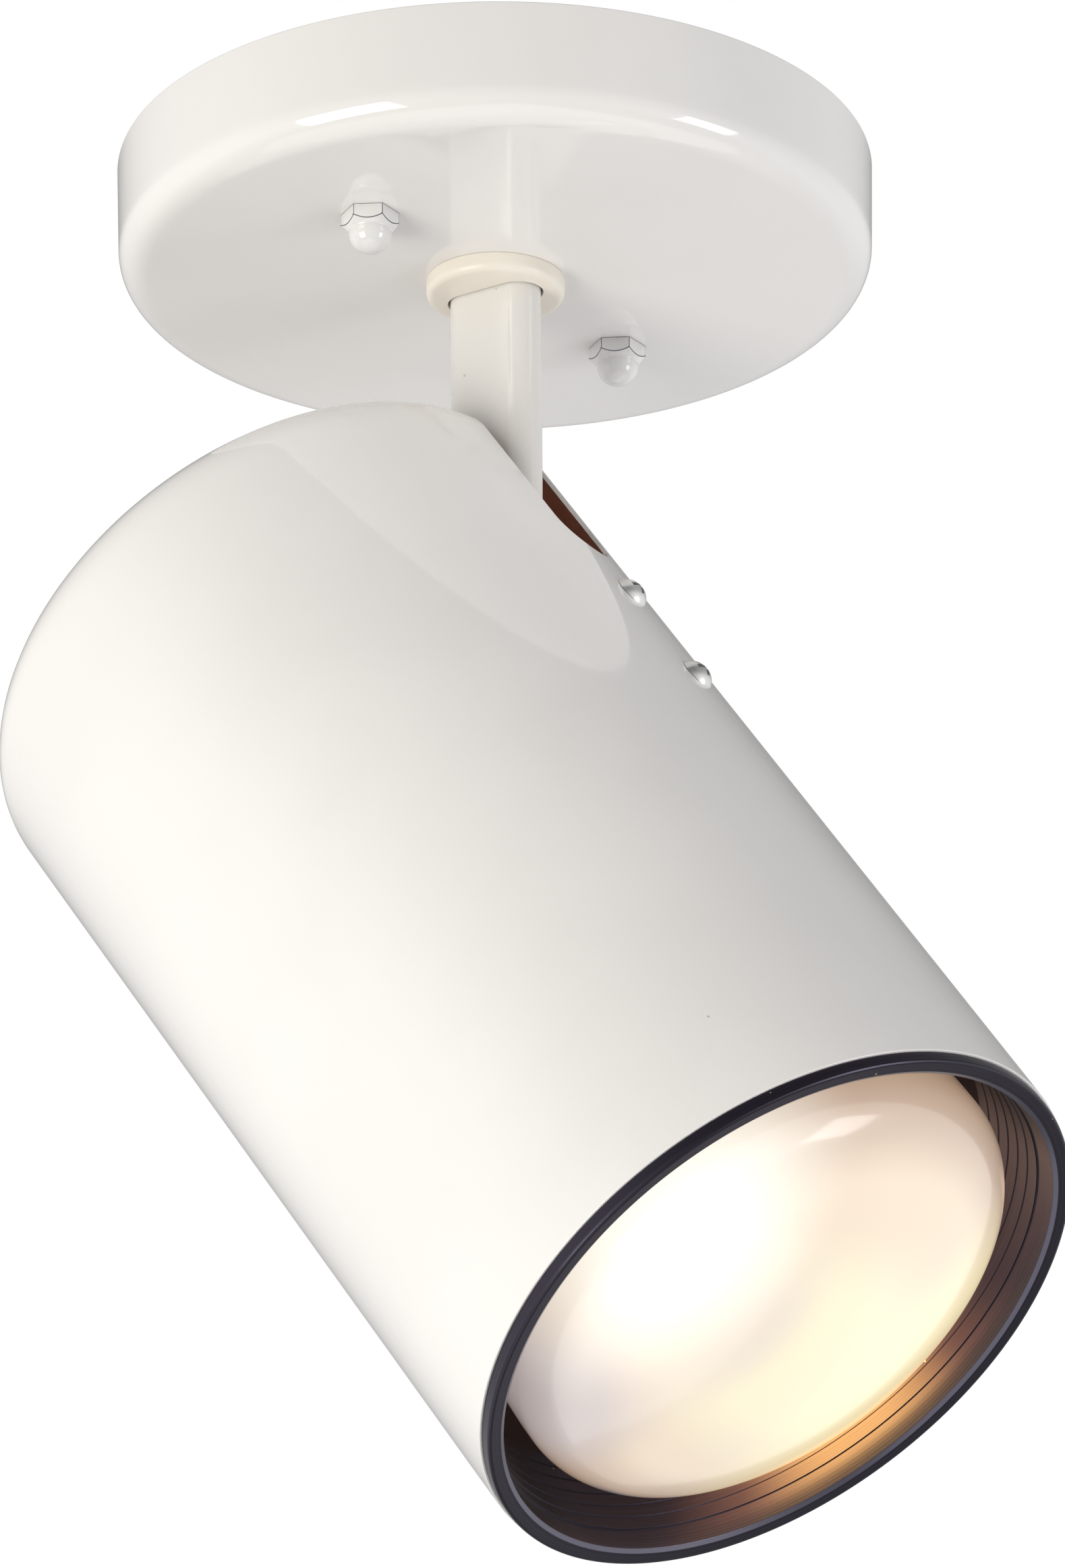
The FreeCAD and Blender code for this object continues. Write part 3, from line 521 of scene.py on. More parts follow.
def arc_of(corners: Sequence[Corner], index: int, steps: int) -> list[Place]:
    """Points of the tangent arc that rounds one corner, with a guard point on each side of it.

    Args:
        corners: Radius, height and rounding of each corner of a closed outline.
        index: The corner to round.
        steps: Runs in the arc.

    Returns:
        The points, in order.
    """
    after_index = (index + 1) % len(corners)
    corner = corners[index]
    spot = Vector(corner[:2])
    back = Vector(corners[index - 1][:2]) - spot
    ahead = Vector(corners[after_index][:2]) - spot
    half = back.angle(ahead) / 2
    trim = trim_of(corners, index)
    spare_back = back.length - trim - trim_of(corners, (index - 1) % len(corners))
    spare_ahead = ahead.length - trim - trim_of(corners, after_index)
    back.normalize()
    ahead.normalize()
    centre = spot + (back + ahead).normalized() * (corner[2] / math.sin(half))
    start, end = spot + back * trim - centre, spot + ahead * trim - centre
    turn = start.angle_signed(end)
    points = [spot + back * (trim + GUARD * min(corner[2], spare_back))]
    points += [centre + Matrix.Rotation(-turn * k / steps, 2) @ start for k in range(steps + 1)]
    points.append(spot + ahead * (trim + GUARD * min(corner[2], spare_ahead)))
    return [(point.x, point.y) for point in points]


def outline(corners: Sequence[Corner], steps: int = 8, longest: float = 1000.0) -> list[Place]:
    """Closed outline of straight runs and rounded corners.

    Args:
        corners: Radius, height and rounding of each corner.
        steps: Runs in each arc.
        longest: Longest straight run before it is divided.

    Returns:
        The points, with the first repeated at the end.
    """
    points: list[Place] = []
    for index, corner in enumerate(corners):
        points += arc_of(corners, index, steps) if corner[2] else [corner[:2]]
    points.append(points[0])
    divided = points[:1]
    for last, point in zip(points, points[1:]):
        parts = max(1, math.ceil(math.dist(last, point) / longest))
        divided += [tuple(a + (b - a) * k / parts for a, b in zip(last, point)) for k in range(1, parts + 1)]
    return divided


class Bench:
    """Modelling steps that all pieces share."""

    smooth_angle = math.radians(28.0)
    weld = 1e-7

    def clear(self) -> None:
        """Leave nothing selected."""
        bpy.ops.object.select_all(action="DESELECT")

    def take(self, piece: Node) -> None:
        """Select one object and make it active."""
        self.clear()
        piece.select_set(True)
        bpy.context.view_layer.objects.active = piece

    def named(self, name: str) -> Node:
        """Name the object that was just made, with its place moved into its mesh."""
        piece = bpy.context.object
        piece.name = name
        piece.data.name = name
        bpy.ops.object.transform_apply(location=True, rotation=True, scale=True)
        return piece

    def turned(self, name: str, points: Sequence[Place], segments: int) -> Node:
        """Draw a profile point by point and spin it round Z.

        Args:
            name: The new piece's name.
            points: Radius and height of the profile, in millimetres.
            segments: Steps of the spin.

        Returns:
            The new piece.
        """
        self.clear()
        radius, height = points[0]
        bpy.ops.mesh.primitive_plane_add(size=MM, location=(radius * MM, 0, height * MM))
        bpy.ops.object.mode_set(mode="EDIT")
        bpy.ops.mesh.merge(type="CENTER")
        for last, point in zip(points, points[1:]):
            move = ((point[0] - last[0]) * MM, 0, (point[1] - last[1]) * MM)
            bpy.ops.mesh.extrude_region_move(TRANSFORM_OT_translate={"value": move})
        bpy.ops.mesh.select_all(action="SELECT")
        bpy.ops.mesh.spin(steps=segments, angle=2 * math.pi, center=(0, 0, 0), axis=(0, 0, 1))
        self.close()
        return self.named(name)

    def close(self) -> None:
        """Merge doubles, point the faces outwards and leave edit mode."""
        bpy.ops.mesh.select_all(action="SELECT")
        bpy.ops.mesh.remove_doubles(threshold=self.weld)
        bpy.ops.mesh.normals_make_consistent(inside=False)
        bpy.ops.object.mode_set(mode="OBJECT")

    def slab(self, name: str, centre: Place, radius: float, stretch: Place, span: Place, plane: Plane,
             vertices: int = 48) -> Node:
        """Solid with a rounded outline: a disc whose two halves are pulled apart, then extruded.

        Args:
            name: The new piece's name.
            centre: Middle of the disc in its plane, in millimetres.
            radius: Radius of the disc.
            stretch: How far the high and the low half move along the plane's second axis.
            span: Start and end of the extrusion.
            plane: The plane, named by the extrusion's axis.
            vertices: Points of the disc.

        Returns:
            The new piece.
        """
        first, second = ((1, 2), (0, 2), (0, 1))[plane.value]
        turn = ((0, math.pi / 2, 0), (math.pi / 2, 0, 0), (0, 0, 0))[plane.value]
        middle = [0.0, 0.0, 0.0]
        middle[first], middle[second], middle[plane.value] = centre[0] * MM, centre[1] * MM, span[0] * MM
        self.clear()
        bpy.ops.mesh.primitive_circle_add(vertices=vertices, radius=radius * MM, fill_type="NGON",
                                          location=middle, rotation=turn)
        piece = self.named(name)
        level = centre[1] * MM
        for side, distance in zip((1, -1), stretch):
            bpy.ops.object.mode_set(mode="EDIT")
            bpy.ops.mesh.select_all(action="DESELECT")
            bpy.ops.object.mode_set(mode="OBJECT")
            for vertex in piece.data.vertices:
                vertex.select = side * (vertex.co[second] - level) > self.weld
            bpy.ops.object.mode_set(mode="EDIT")
            move = [0.0, 0.0, 0.0]
            move[second] = distance * MM
            bpy.ops.transform.translate(value=move)
            bpy.ops.object.mode_set(mode="OBJECT")
        bpy.ops.object.mode_set(mode="EDIT")
        bpy.ops.mesh.select_all(action="SELECT")
        move = [0.0, 0.0, 0.0]
        move[plane.value] = (span[1] - span[0]) * MM
        bpy.ops.mesh.extrude_region_move(TRANSFORM_OT_translate={"value": move})
        self.close()
        return piece

    def carve(self, piece: Node, tool: Node, how: Carve) -> None:
        """Apply one solid to another and delete the tool."""
        self.take(piece)
        modifier = piece.modifiers.new("carve", "BOOLEAN")
        modifier.operation = how.value
        modifier.solver = "EXACT"
        modifier.object = tool
        bpy.ops.object.modifier_apply(modifier=modifier.name)
        bpy.data.objects.remove(tool)

    def ease(self, piece: Node, width: float, steps: int = 2, material: int = -1) -> None:
        """Break the sharp edges of a piece.

        Args:
            piece: The piece.
            width: Width of the broken edge in millimetres.
            steps: Faces across it.
            material: Number of its material, or -1 for that of the faces beside it.
        """
        self.take(piece)
        modifier = piece.modifiers.new("ease", "BEVEL")
        modifier.width = width * MM
        modifier.segments = steps
        modifier.material = material
        modifier.limit_method = "ANGLE"
        modifier.angle_limit = self.smooth_angle
        bpy.ops.object.modifier_apply(modifier=modifier.name)

    def polish(self, piece: Node) -> None:
        """Shade a piece smooth between its sharp edges."""
        self.take(piece)
        bpy.ops.object.shade_smooth_by_angle(angle=self.smooth_angle)

    def put(self, piece: Node, matrix: Matrix) -> None:
        """Move a piece into place, with the place kept in its mesh."""
        self.take(piece)
        piece.matrix_world = matrix
        bpy.ops.object.transform_apply(location=True, rotation=True, scale=True)


@dataclass(frozen=True)
class Pose:
    """How the light hangs in the photo."""

    swivel_deg: float = 5.94
    tilt_deg: float = -35.0
    pivot: Point = (0.0, 0.0, -80.8)
    can_from_pivot: Point = (0.0, 37.5, 31.5)

    def stem(self) -> Matrix:
        """Placing matrix of what swivels."""
        return Matrix.Rotation(math.radians(self.swivel_deg), 4, "Z")

    def head(self) -> Matrix:
        """Placing matrix of what tilts, from the can's own frame with its back face at zero."""
        pivot = Matrix.Translation(Vector(self.pivot) * MM)
        tilt = Matrix.Rotation(math.radians(self.tilt_deg), 4, "X")
        return self.stem() @ pivot @ tilt @ Matrix.Translation(Vector(self.can_from_pivot) * MM)

    def lamp(self, tip_depth: float, lean_deg: float) -> Matrix:
        """Placing matrix of the lamp, which leans a little about the end of its base."""
        tip = Matrix.Translation(Vector((0, 0, -tip_depth)) * MM)
        lean = Matrix.Rotation(math.radians(-lean_deg), 4, "Y")
        return self.head() @ tip @ lean @ tip.inverted()


class Finishes:
    """All finishes of the light, each made once."""

    def __init__(self, pose: Pose, lamp_place: Matrix) -> None:
        """Make the materials."""
        # Painted shade: the canopy's, the nuts' and the stem's enamel are darker copies of the can's white
        # enamel, toned to how light falls on each.
        self.canopy = Enamel("canopy_enamel", (0.82, 0.802, 0.786), 0.06).material()
        self.nut = Enamel("nut_enamel", (0.76, 0.752, 0.745), 0.06).material()
        self.shade = Enamel("shade_enamel", (0.84, 0.820, 0.802), 0.055).material()
        self.stem = Enamel("stem_enamel", (0.75, 0.73, 0.70), 0.08, nib_scale=260.0, nib_rarity=0.72,
                           nib_radius=0.06).material()
        self.primer = Primer("can_primer", (0.40, 0.225, 0.175), 0.55, pose.head()).material()
        self.collar = Moulded("collar_nylon", (0.85, 0.80, 0.72), 0.28, (0.83, 0.77, 0.68), 0.1).material()
        self.baffle = Anodised("black_anodised", (0.038, 0.034, 0.048), 0.22, pose.head()).material()
        # Painted highlight: a lighter copy of the ring's black finish, for the bright line along its inner
        # bevel.
        self.bevel = Anodised("painted_highlight_bevel", (0.120, 0.115, 0.150), 0.22, pose.head()).material()
        self.glass = Glow("frosted_glass", (0.25, 0.245, 0.235), 0.30, lamp_place).material()
        self.zinc = Plated("zinc_steel", (0.55, 0.57, 0.60), 0.26, (0.68, 0.68, 0.68)).material()
        self.green = Plated("green_zinc", (0.03, 0.22, 0.07), 0.30, (0.05, 0.30, 0.10)).material()
        self.nickel = Plated("nickel", (0.68, 0.68, 0.67), 0.24, (0.74, 0.74, 0.73)).material()
        self.brass = Plated("brass", (0.62, 0.42, 0.14), 0.22, (0.72, 0.52, 0.20)).material()
        self.lamp_metal = Plated("lamp_nickel", (0.66, 0.65, 0.62), 0.24, (0.74, 0.73, 0.70)).material()
        self.solder = Plated("solder", (0.46, 0.46, 0.47), 0.45, (0.56, 0.56, 0.56)).material()
        self.porcelain = Moulded("porcelain", (0.80, 0.79, 0.75), 0.14, (0.76, 0.75, 0.70), 0.1).material()
        self.dark_glass = Moulded("black_glass", (0.012, 0.012, 0.016), 0.12, (0.02, 0.02, 0.025),
                                  0.1).material()
        self.fibre = Moulded("fibre", (0.035, 0.033, 0.03), 0.60, (0.07, 0.06, 0.05), 0.5).material()
        self.black_wire = Moulded("black_insulation", (0.018, 0.018, 0.02), 0.38,
                                  (0.03, 0.03, 0.03)).material()
        self.white_wire = Moulded("white_insulation", (0.74, 0.73, 0.70), 0.38, (0.68, 0.67, 0.63)).material()
        # Painted shade: dark finish for the nuts' broken edges. It stands in for the shade along them and the
        # shadow at their seat on the canopy.
        self.painted_edge_shade = Moulded("painted_edge_shade", (0.10, 0.10, 0.115), 0.45, (0.16, 0.16, 0.175)).material()


@dataclass
class Assembly:
    """A group of pieces that ride on one body."""

    bench: Bench
    finishes: Finishes
    pose: Pose
    body: Body

    @staticmethod
    def coat(piece: Node, *materials: bpy.types.Material) -> None:
        """Give a piece its finishes, numbered in order."""
        piece.data.materials.clear()
        for material in materials:
            piece.data.materials.append(material)

    def fit(self, piece: Node, place: Matrix, material: bpy.types.Material, slot: str, *nodes: str) -> Node:
        """Smooth a new piece, put it in place, dress it, let it ride and let it stand for its nodes."""
        self.bench.polish(piece)
        self.bench.put(piece, place)
        if not piece.data.materials:
            self.coat(piece, material)
        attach(piece, self.body.value)
        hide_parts(*nodes)
        log.info("%s: %d faces on %s", piece.name, len(piece.data.polygons), self.body.value)
        return piece

    def dress(self, material: bpy.types.Material, *nodes: str) -> None:
        """Give carried-over nodes their finish."""
        for name in nodes:
            self.coat(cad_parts[name], material)
            log.info("%s: carried over in %s", name, material.name)


@dataclass
class CanopyAssembly(Assembly):
    """Round canopy, its nuts and what is fixed inside it."""

    radius: float = 66.675
    draft: float = 0.45
    depth: float = 21.0
    rounding: float = 5.5
    sheet: float = 0.9
    edge: float = 0.25
    hole: float = 10.65
    stud_spacing: float = 69.85
    nut_flats: float = 8.73
    corner_height: float = 2.0
    chamfer_deg: float = 46.0
    dome_radius: float = 3.72
    dome_crown: float = 3.65
    dome_foot: float = 0.5
    nut_height: float = 7.4
    nut_turns: tuple[float, float] = (4.7, 3.1)
    # Width of each nut's dark edges, which are painted shade.
    painted_edge_shade_width: float = 0.1
    nut_segments: int = 144
    segments: int = 224

    def pan(self) -> Node:
        """Drawn pan with a rolled lower edge."""
        low = self.radius - self.draft
        floor = self.sheet - self.depth
        corners = [
            (self.radius, 0.0, self.edge), (low, -self.depth, self.rounding),
            (self.hole, -self.depth, self.edge), (self.hole, floor, 0.0),
            (low - self.sheet, floor, self.rounding - self.sheet),
            (self.radius - self.sheet, 0.0, self.edge),
        ]
        pan = self.bench.turned("canopy_pan", outline(corners, steps=14), self.segments)
        return self.fit(pan, Matrix.Identity(4), self.finishes.canopy, "canopy_enamel", "canopy")

    def nut(self, name: str) -> Node:
        """Closed nut: hexagon with turned-off corners and a domed cap, its broken edges darkened as painted
        shade.
        """
        corner = self.nut_flats / math.sqrt(3)
        shoulder = self.corner_height + (corner - self.dome_radius) * math.tan(math.radians(self.chamfer_deg))
        blank = [(0.0, 0.0, 0.0), (corner + CLEAR, 0.0, 0.0), (corner + CLEAR, -self.corner_height, 0.0),
                 (corner, -self.corner_height, 0.0), (self.dome_radius, -shoulder, self.dome_foot),
                 (self.dome_radius, -self.nut_height, self.dome_crown), (0.0, -self.nut_height, 0.0)]
        nut = self.bench.turned(name, outline(blank, steps=16), self.nut_segments)
        self.bench.clear()
        bpy.ops.mesh.primitive_cylinder_add(vertices=6, radius=corner * MM, depth=4 * self.nut_height * MM,
                                            rotation=(0, 0, math.pi / 6))
        self.bench.carve(nut, self.bench.named("hexagon"), Carve.KEEP)
        self.coat(nut, self.finishes.nut, self.finishes.painted_edge_shade)
        # The broken edges take the dark finish: painted shade.
        self.bench.ease(nut, self.painted_edge_shade_width, material=1)
        return nut

    def nuts(self) -> None:
        """One nut at each stud, each turned a little on its thread."""
        for number, (side, turn) in enumerate(zip((-1, 1), self.nut_turns), 1):
            piece = self.nut("acorn_nut_%d" % number)
            place = Matrix.Translation(Vector((side * self.stud_spacing / 2, 0, -self.depth)) * MM)
            place = place @ Matrix.Rotation(math.radians(turn), 4, "Z")
            self.fit(piece, place, self.finishes.nut, "nut_enamel", "acorn_nuts")

    def build(self) -> None:
        """Make and dress everything that stays still."""
        self.pan()
        self.nuts()
        self.dress(self.finishes.zinc, "crossbar", "canopy_studs", "stud_nuts", "stop_pin")
        self.dress(self.finishes.green, "ground_screw")


@dataclass
class StemAssembly(Assembly):
    """Flattened stem, its collar and the wires inside it."""

    width: float = 17.4
    thickness: float = 8.1
    wall: float = 0.9
    top: float = -16.5
    lip: float = 1.2
    lip_height: float = 1.0
    pivot_drop: float = 80.8
    collar_radius: float = 12.2
    collar_top: float = -21.0
    collar_bottom: float = -24.3
    collar_round: float = 1.3
    collar_edge: float = 0.2
    collar_segments: int = 128
    neck_radius: float = 10.6
    neck_top: float = -18.9
    hole_gap: float = 0.45
    wire_diameter: float = 2.3
    wire_held: tuple[Point, ...] = ((12.0, 24.0, -8.2), (4.6, 19.2, -8.2), (0.0, 4.6, -10.5),
                                    (0.0, 4.6, -48.0), (0.0, 4.6, -85.8), (0.0, 4.6, -94.8))
    wire_free: tuple[Point, ...] = ((10.0, -24.7, -46.1), (16.65, -15.7, -44.1), (16.65, -3.9, -44.1))
    facets: int = 96

    def oval(self, name: str, grow: float, span: Place) -> Node:
        """Flat-sided oval prism, with its width along Y."""
        radius = self.thickness / 2 + grow
        run = (self.width - self.thickness) / 2
        return self.bench.slab(name, (0.0, 0.0), radius, (run, -run), span, Plane.ALONG_Z, self.facets)

    def tube(self) -> Node:
        """Flattened tube with a spread top edge and a full-round lower end."""
        half = self.width / 2
        end = -self.pivot_drop - half
        tube = self.oval("stem_tube", 0.0, (end, self.top))
        self.bench.carve(tube, self.oval("lip", self.lip, (self.top - self.lip_height, self.top)), Carve.JOIN)
        self.bench.carve(tube, self.oval("bore", -self.wall, (end - CLEAR, self.top + CLEAR)), Carve.CUT)
        keep = self.bench.slab("keep", (0.0, -self.pivot_drop), half, (self.pivot_drop, 0.0), (-half, half),
                               Plane.ALONG_X, self.facets)
        self.bench.carve(tube, keep, Carve.KEEP)
        return self.fit(tube, self.pose.stem(), self.finishes.stem, "stem_enamel", "stem")

    def collar(self) -> Node:
        """Moulded collar with a rounded rim and an oval hole."""
        corners = [
            (0.0, self.collar_bottom, 0.0), (self.collar_radius, self.collar_bottom, self.collar_round),
            (self.collar_radius, self.collar_top, self.collar_edge), (self.neck_radius, self.collar_top, 0.0),
            (self.neck_radius, self.neck_top, self.collar_edge), (0.0, self.neck_top, 0.0),
        ]
        collar = self.bench.turned("swivel_collar", outline(corners, steps=10), self.collar_segments)
        hole = self.oval("hole", self.hole_gap, (self.collar_bottom - CLEAR, self.neck_top + CLEAR))
        self.bench.carve(collar, hole, Carve.CUT)
        return self.fit(collar, self.pose.stem(), self.finishes.collar, "collar_nylon", "swivel_bush")

    def route(self, side: int) -> list[Vector]:
        """Points of one wire from the canopy to its terminal screw, in place."""
        held = [Vector((x * side, y * side, z)) * MM for x, y, z in self.wire_held]
        free = [Vector((x * side, y, z)) * MM for x, y, z in self.wire_free]
        return [self.pose.stem() @ point for point in held] + [self.pose.head() @ point for point in free]

    def wire(self, name: str, side: int, material: bpy.types.Material, slot: str, *nodes: str) -> Node:
        """One insulated wire from the canopy through the stem to its terminal screw, drawn in the rest pose.
        """
        points = self.route(side)
        curve = bpy.data.curves.new(name, "CURVE")
        curve.dimensions = "3D"
        curve.bevel_depth = self.wire_diameter / 2 * MM
        curve.bevel_resolution = 5
        curve.use_fill_caps = True
        spline = curve.splines.new("NURBS")
        spline.points.add(len(points) - 1)
        for spot, point in zip(spline.points, points):
            spot.co = (*point, 1.0)
        spline.order_u = 3
        spline.use_endpoint_u = True
        spline.resolution_u = 10
        piece = bpy.data.objects.new(name, curve)
        bpy.context.scene.collection.objects.link(piece)
        self.bench.take(piece)
        bpy.ops.object.convert(target="MESH")
        piece = bpy.context.object
        piece.name = name
        self.bench.polish(piece)
        self.coat(piece, material)
        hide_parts(*nodes)
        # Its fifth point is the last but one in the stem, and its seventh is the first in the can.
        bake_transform(piece)
        log.info("%s: %d faces from stem to head", name, len(piece.data.polygons))
        return piece

    def build(self) -> None:
        """Make and dress everything that swivels."""
        self.tube()
        self.collar()
        self.wire("black_wire", 1, self.finishes.black_wire, "black_insulation", "black_lead", "black_tail")
        self.wire("white_wire", -1, self.finishes.white_wire, "white_insulation", "white_lead", "white_tail")
        self.dress(self.finishes.zinc, "spring_washer", "stop_washer")
        self.dress(self.finishes.fibre, "lead_bushing")


@dataclass
class CanAssembly(Assembly):
    """White can with its slot, black stepped ring, screws and pivot."""

    radius: float = 56.1
    wall: float = 0.6
    length: float = 178.4
    back_round: float = 9.5
    rim_round: float = 0.2
    inward: float = -0.5
    overrun: float = 4.0
    slot_width: float = 14.5
    slot_end: float = 41.4
    slot_back: float = 27.6
    lip: float = 2.4
    face_dish: float = 0.25
    ring_set_in: float = 0.4
    face_width: float = 3.2
    ring_round: float = 0.5
    bevel: tuple[float, float] = (0.75, 0.45)
    bevel_round: float = 0.1
    seat_round: float = 0.12
    spigot: float = 5.0
    spigot_fit: float = 0.15
    ring_sheet: float = 1.0
    band_depth: float = 4.7
    band_taper: float = 0.5
    steps: int = 6
    step_pitch: float = 2.6
    step_rise: float = 0.3
    step_flare: float = 0.12
    step_round: float = 0.06
    step_edge: float = 0.05
    screw_depths: tuple[float, float] = (52.7, 75.1)
    screw_lengths: tuple[float, float] = (7.2, 8.4)
    head_radius: float = 3.15
    head_height: float = 2.0
    head_edge: float = 0.1
    crown_steps: int = 16
    shank_radius: float = 1.75
    shank_end: float = 0.5
    screw_segments: int = 64
    recess: tuple[float, float, float] = (3.5, 0.75, 2.0)
    segments: int = 224

    def shade(self) -> Node:
        """Can with a rounded closed back and a slot for the stem."""
        bore = self.radius - self.wall
        corners = [
            (0.0, 0.0, 0.0), (self.radius, 0.0, self.back_round), (self.radius, -self.length, self.rim_round),
            (bore, -self.length, self.rim_round), (bore, -self.wall, self.back_round - self.wall),
            (0.0, -self.wall, 0.0),
        ]
        shade = self.bench.turned("can_shade", outline(corners, steps=12, longest=5.0), self.segments)
        half = self.slot_width / 2
        inside = self.radius - self.back_round - self.wall
        wall_cut = self.bench.slab("wall_cut", (0.0, half - self.slot_end), half, (self.slot_end, 0.0),
                                   (-self.radius - self.overrun, -inside), Plane.ALONG_Y)
        self.bench.carve(shade, wall_cut, Carve.CUT)
        plate_cut = self.bench.slab("plate_cut", (0.0, -self.slot_back - half), half, (0.0, -self.radius),
                                    (-2 * self.wall, self.overrun), Plane.ALONG_Z)
        self.bench.carve(shade, plate_cut, Carve.CUT)
        self.coat(shade, self.finishes.shade, self.finishes.primer)
        for face in shade.data.polygons:
            out = Vector((face.center.x, face.center.y, 0.0)).normalized()
            roof = face.normal.z < self.inward and face.center.z > -self.back_round * MM
            face.material_index = int(face.normal.dot(out) < self.inward or roof)
        return self.fit(shade, self.pose.head(), self.finishes.shade, "shade_enamel", "shade")

    def ring(self) -> Node:
        """Black ring with a spigot in the can and a stepped inside wall."""
        outer = self.radius - self.ring_set_in
        mouth = outer - self.face_width
        front = -self.length - self.lip
        dished = front + self.face_dish
        edge, inner = mouth + self.bevel[0], dished + self.bevel[1]
        corners = [(outer, -self.length, self.seat_round), (outer, front, self.ring_round),
                   (edge, dished, self.bevel_round), (mouth, inner, self.bevel_round)]
        radius = mouth - self.band_taper
        height = front + self.band_depth
        corners.append((radius, height, self.step_round))
        for _ in range(self.steps):
            radius -= self.step_rise
            corners.append((radius, height, self.step_round))
            height += self.step_pitch
            corners.append((radius - self.step_flare, height, self.step_edge))
        skirt = mouth + self.ring_sheet
        bore = self.radius - self.wall - self.spigot_fit
        end = -self.length + self.spigot
        corners += [(skirt, height, self.bevel_round), (skirt, end, 0.0), (bore, end, self.bevel_round),
                    (bore, -self.length, 0.0)]
        ring = self.bench.turned("stepped_ring", outline(corners, steps=3), self.segments)
        self.coat(ring, self.finishes.baffle, self.finishes.bevel)
        # The faces of the inner bevel take the lighter copy, which is a painted highlight line.
        for face in ring.data.polygons:
            reach = math.hypot(face.center.x, face.center.y)
            face.material_index = int(reach < edge * MM and face.center.z < inner * MM)
        return self.fit(ring, self.pose.head(), self.finishes.baffle, "black_anodised", "baffle")

    def screw(self, name: str, depth: float, length: float) -> Node:
        """Round-head screw with a cross recess, through the can's wall."""
        bulge = (self.head_radius ** 2 + self.head_height ** 2) / (2 * self.head_height)
        sweep = math.asin(self.head_radius / bulge)
        angles = [sweep * k / self.crown_steps for k in range(self.crown_steps + 1)]
        crown = [(bulge * math.sin(a), self.head_height - bulge + bulge * math.cos(a)) for a in angles]
        points = crown + [
            (self.head_radius - self.head_edge, 0.0), (self.shank_radius, 0.0),
            (self.shank_radius, self.shank_end - length), (self.shank_radius - self.shank_end, -length),
            (0.0, -length),
        ]
        screw = self.bench.turned(name, points + points[:1], self.screw_segments)
        for turn in (0.0, math.pi / 2):
            self.bench.clear()
            bpy.ops.mesh.primitive_cube_add(size=1.0, location=(0, 0, self.head_height * MM),
                                            rotation=(0, 0, turn),
                                            scale=tuple(size * MM for size in self.recess))
            self.bench.carve(screw, self.bench.named("recess"), Carve.CUT)
        outward = Matrix.Rotation(math.pi / 2, 4, "X")
        spot = Matrix.Translation(Vector((0, -self.radius, -depth)) * MM)
        place = self.pose.head() @ spot @ outward
        return self.fit(screw, place, self.finishes.nickel, "nickel", "bracket_screws")

    def build(self) -> None:
        """Make and dress the can and its pivot."""
        self.shade()
        self.ring()
        for number, (depth, length) in enumerate(zip(self.screw_depths, self.screw_lengths), 1):
            self.screw("can_screw_%d" % number, depth, length)
        self.dress(self.finishes.zinc, "pivot_bracket", "pivot_screw", "pivot_nut", "pivot_lock_washer",
                   "bracket_nuts", "socket_strap", "socket_screw")
        self.dress(self.finishes.fibre, "friction_washers")


@dataclass
class LampAssembly(Assembly):
    """Reflector lamp and its socket."""

    apex: float = 188.8
    radius: float = 46.3
    face_radius: float = 88.0
    shoulder_radius: float = 11.0
    flank_radius: float = 100.0
    flank_run: float = 52.0
    neck_radius: float = 12.4
    neck_curve: float = 30.0
    tip: float = 52.29
    lean_deg: float = 1.6
    segments: int = 192

    def place(self) -> Matrix:
        """Placing matrix of the leaning lamp."""
        return self.pose.lamp(self.tip, self.lean_deg)

    @staticmethod
    def arc(centre: Place, radius: float, start: float, end: float, steps: int) -> list[Place]:
        """Points of an arc by its angles."""
        angles = [start + (end - start) * k / steps for k in range(steps + 1)]
        return [(centre[0] + radius * math.cos(a), centre[1] + radius * math.sin(a)) for a in angles]

    def profile(self) -> list[Place]:
        """Envelope from the crown of the face to the neck."""
        meet = math.asin((self.radius - self.shoulder_radius) / (self.face_radius - self.shoulder_radius))
        slope = math.asin(self.flank_run / self.flank_radius)
        down = -math.pi / 2
        centre = self.face_radius - self.apex
        equator = centre - (self.face_radius - self.shoulder_radius) * math.cos(meet)
        curves = self.flank_radius + self.neck_curve
        cone = self.radius - self.neck_radius - curves * (1 - math.cos(slope))
        neck = equator + curves * math.sin(slope) + cone / math.tan(slope)
        shoulder = (self.radius - self.shoulder_radius, equator)
        flank = (self.radius - self.flank_radius, equator)
        throat = (self.neck_radius + self.neck_curve, neck)
        points = self.arc((0.0, centre), self.face_radius, down, down + meet, steps=40)
        points += self.arc(shoulder, self.shoulder_radius, down + meet, 0.0, steps=24)[1:]
        points += self.arc(flank, self.flank_radius, 0.0, slope, steps=16)[1:]
        points += self.arc(throat, self.neck_curve, math.pi + slope, math.pi, steps=10)
        return points + [(0.0, neck)]

    def bulb(self) -> Node:
        """Blown envelope with a domed frosted face."""
        bulb = self.bench.turned("lamp_envelope", self.profile(), self.segments)
        return self.fit(bulb, self.place(), self.finishes.glass, "frosted_glass", "lamp_bulb")

    def build(self) -> None:
        """Make and dress the lamp and its socket."""
        self.bulb()
        self.dress(self.finishes.porcelain, "socket_body")
        self.dress(self.finishes.brass, "socket_shell", "socket_contact", "terminal_screws")
        self.dress(self.finishes.lamp_metal, "lamp_base")
        self.dress(self.finishes.dark_glass, "lamp_insulator")
        self.dress(self.finishes.solder, "lamp_contact")


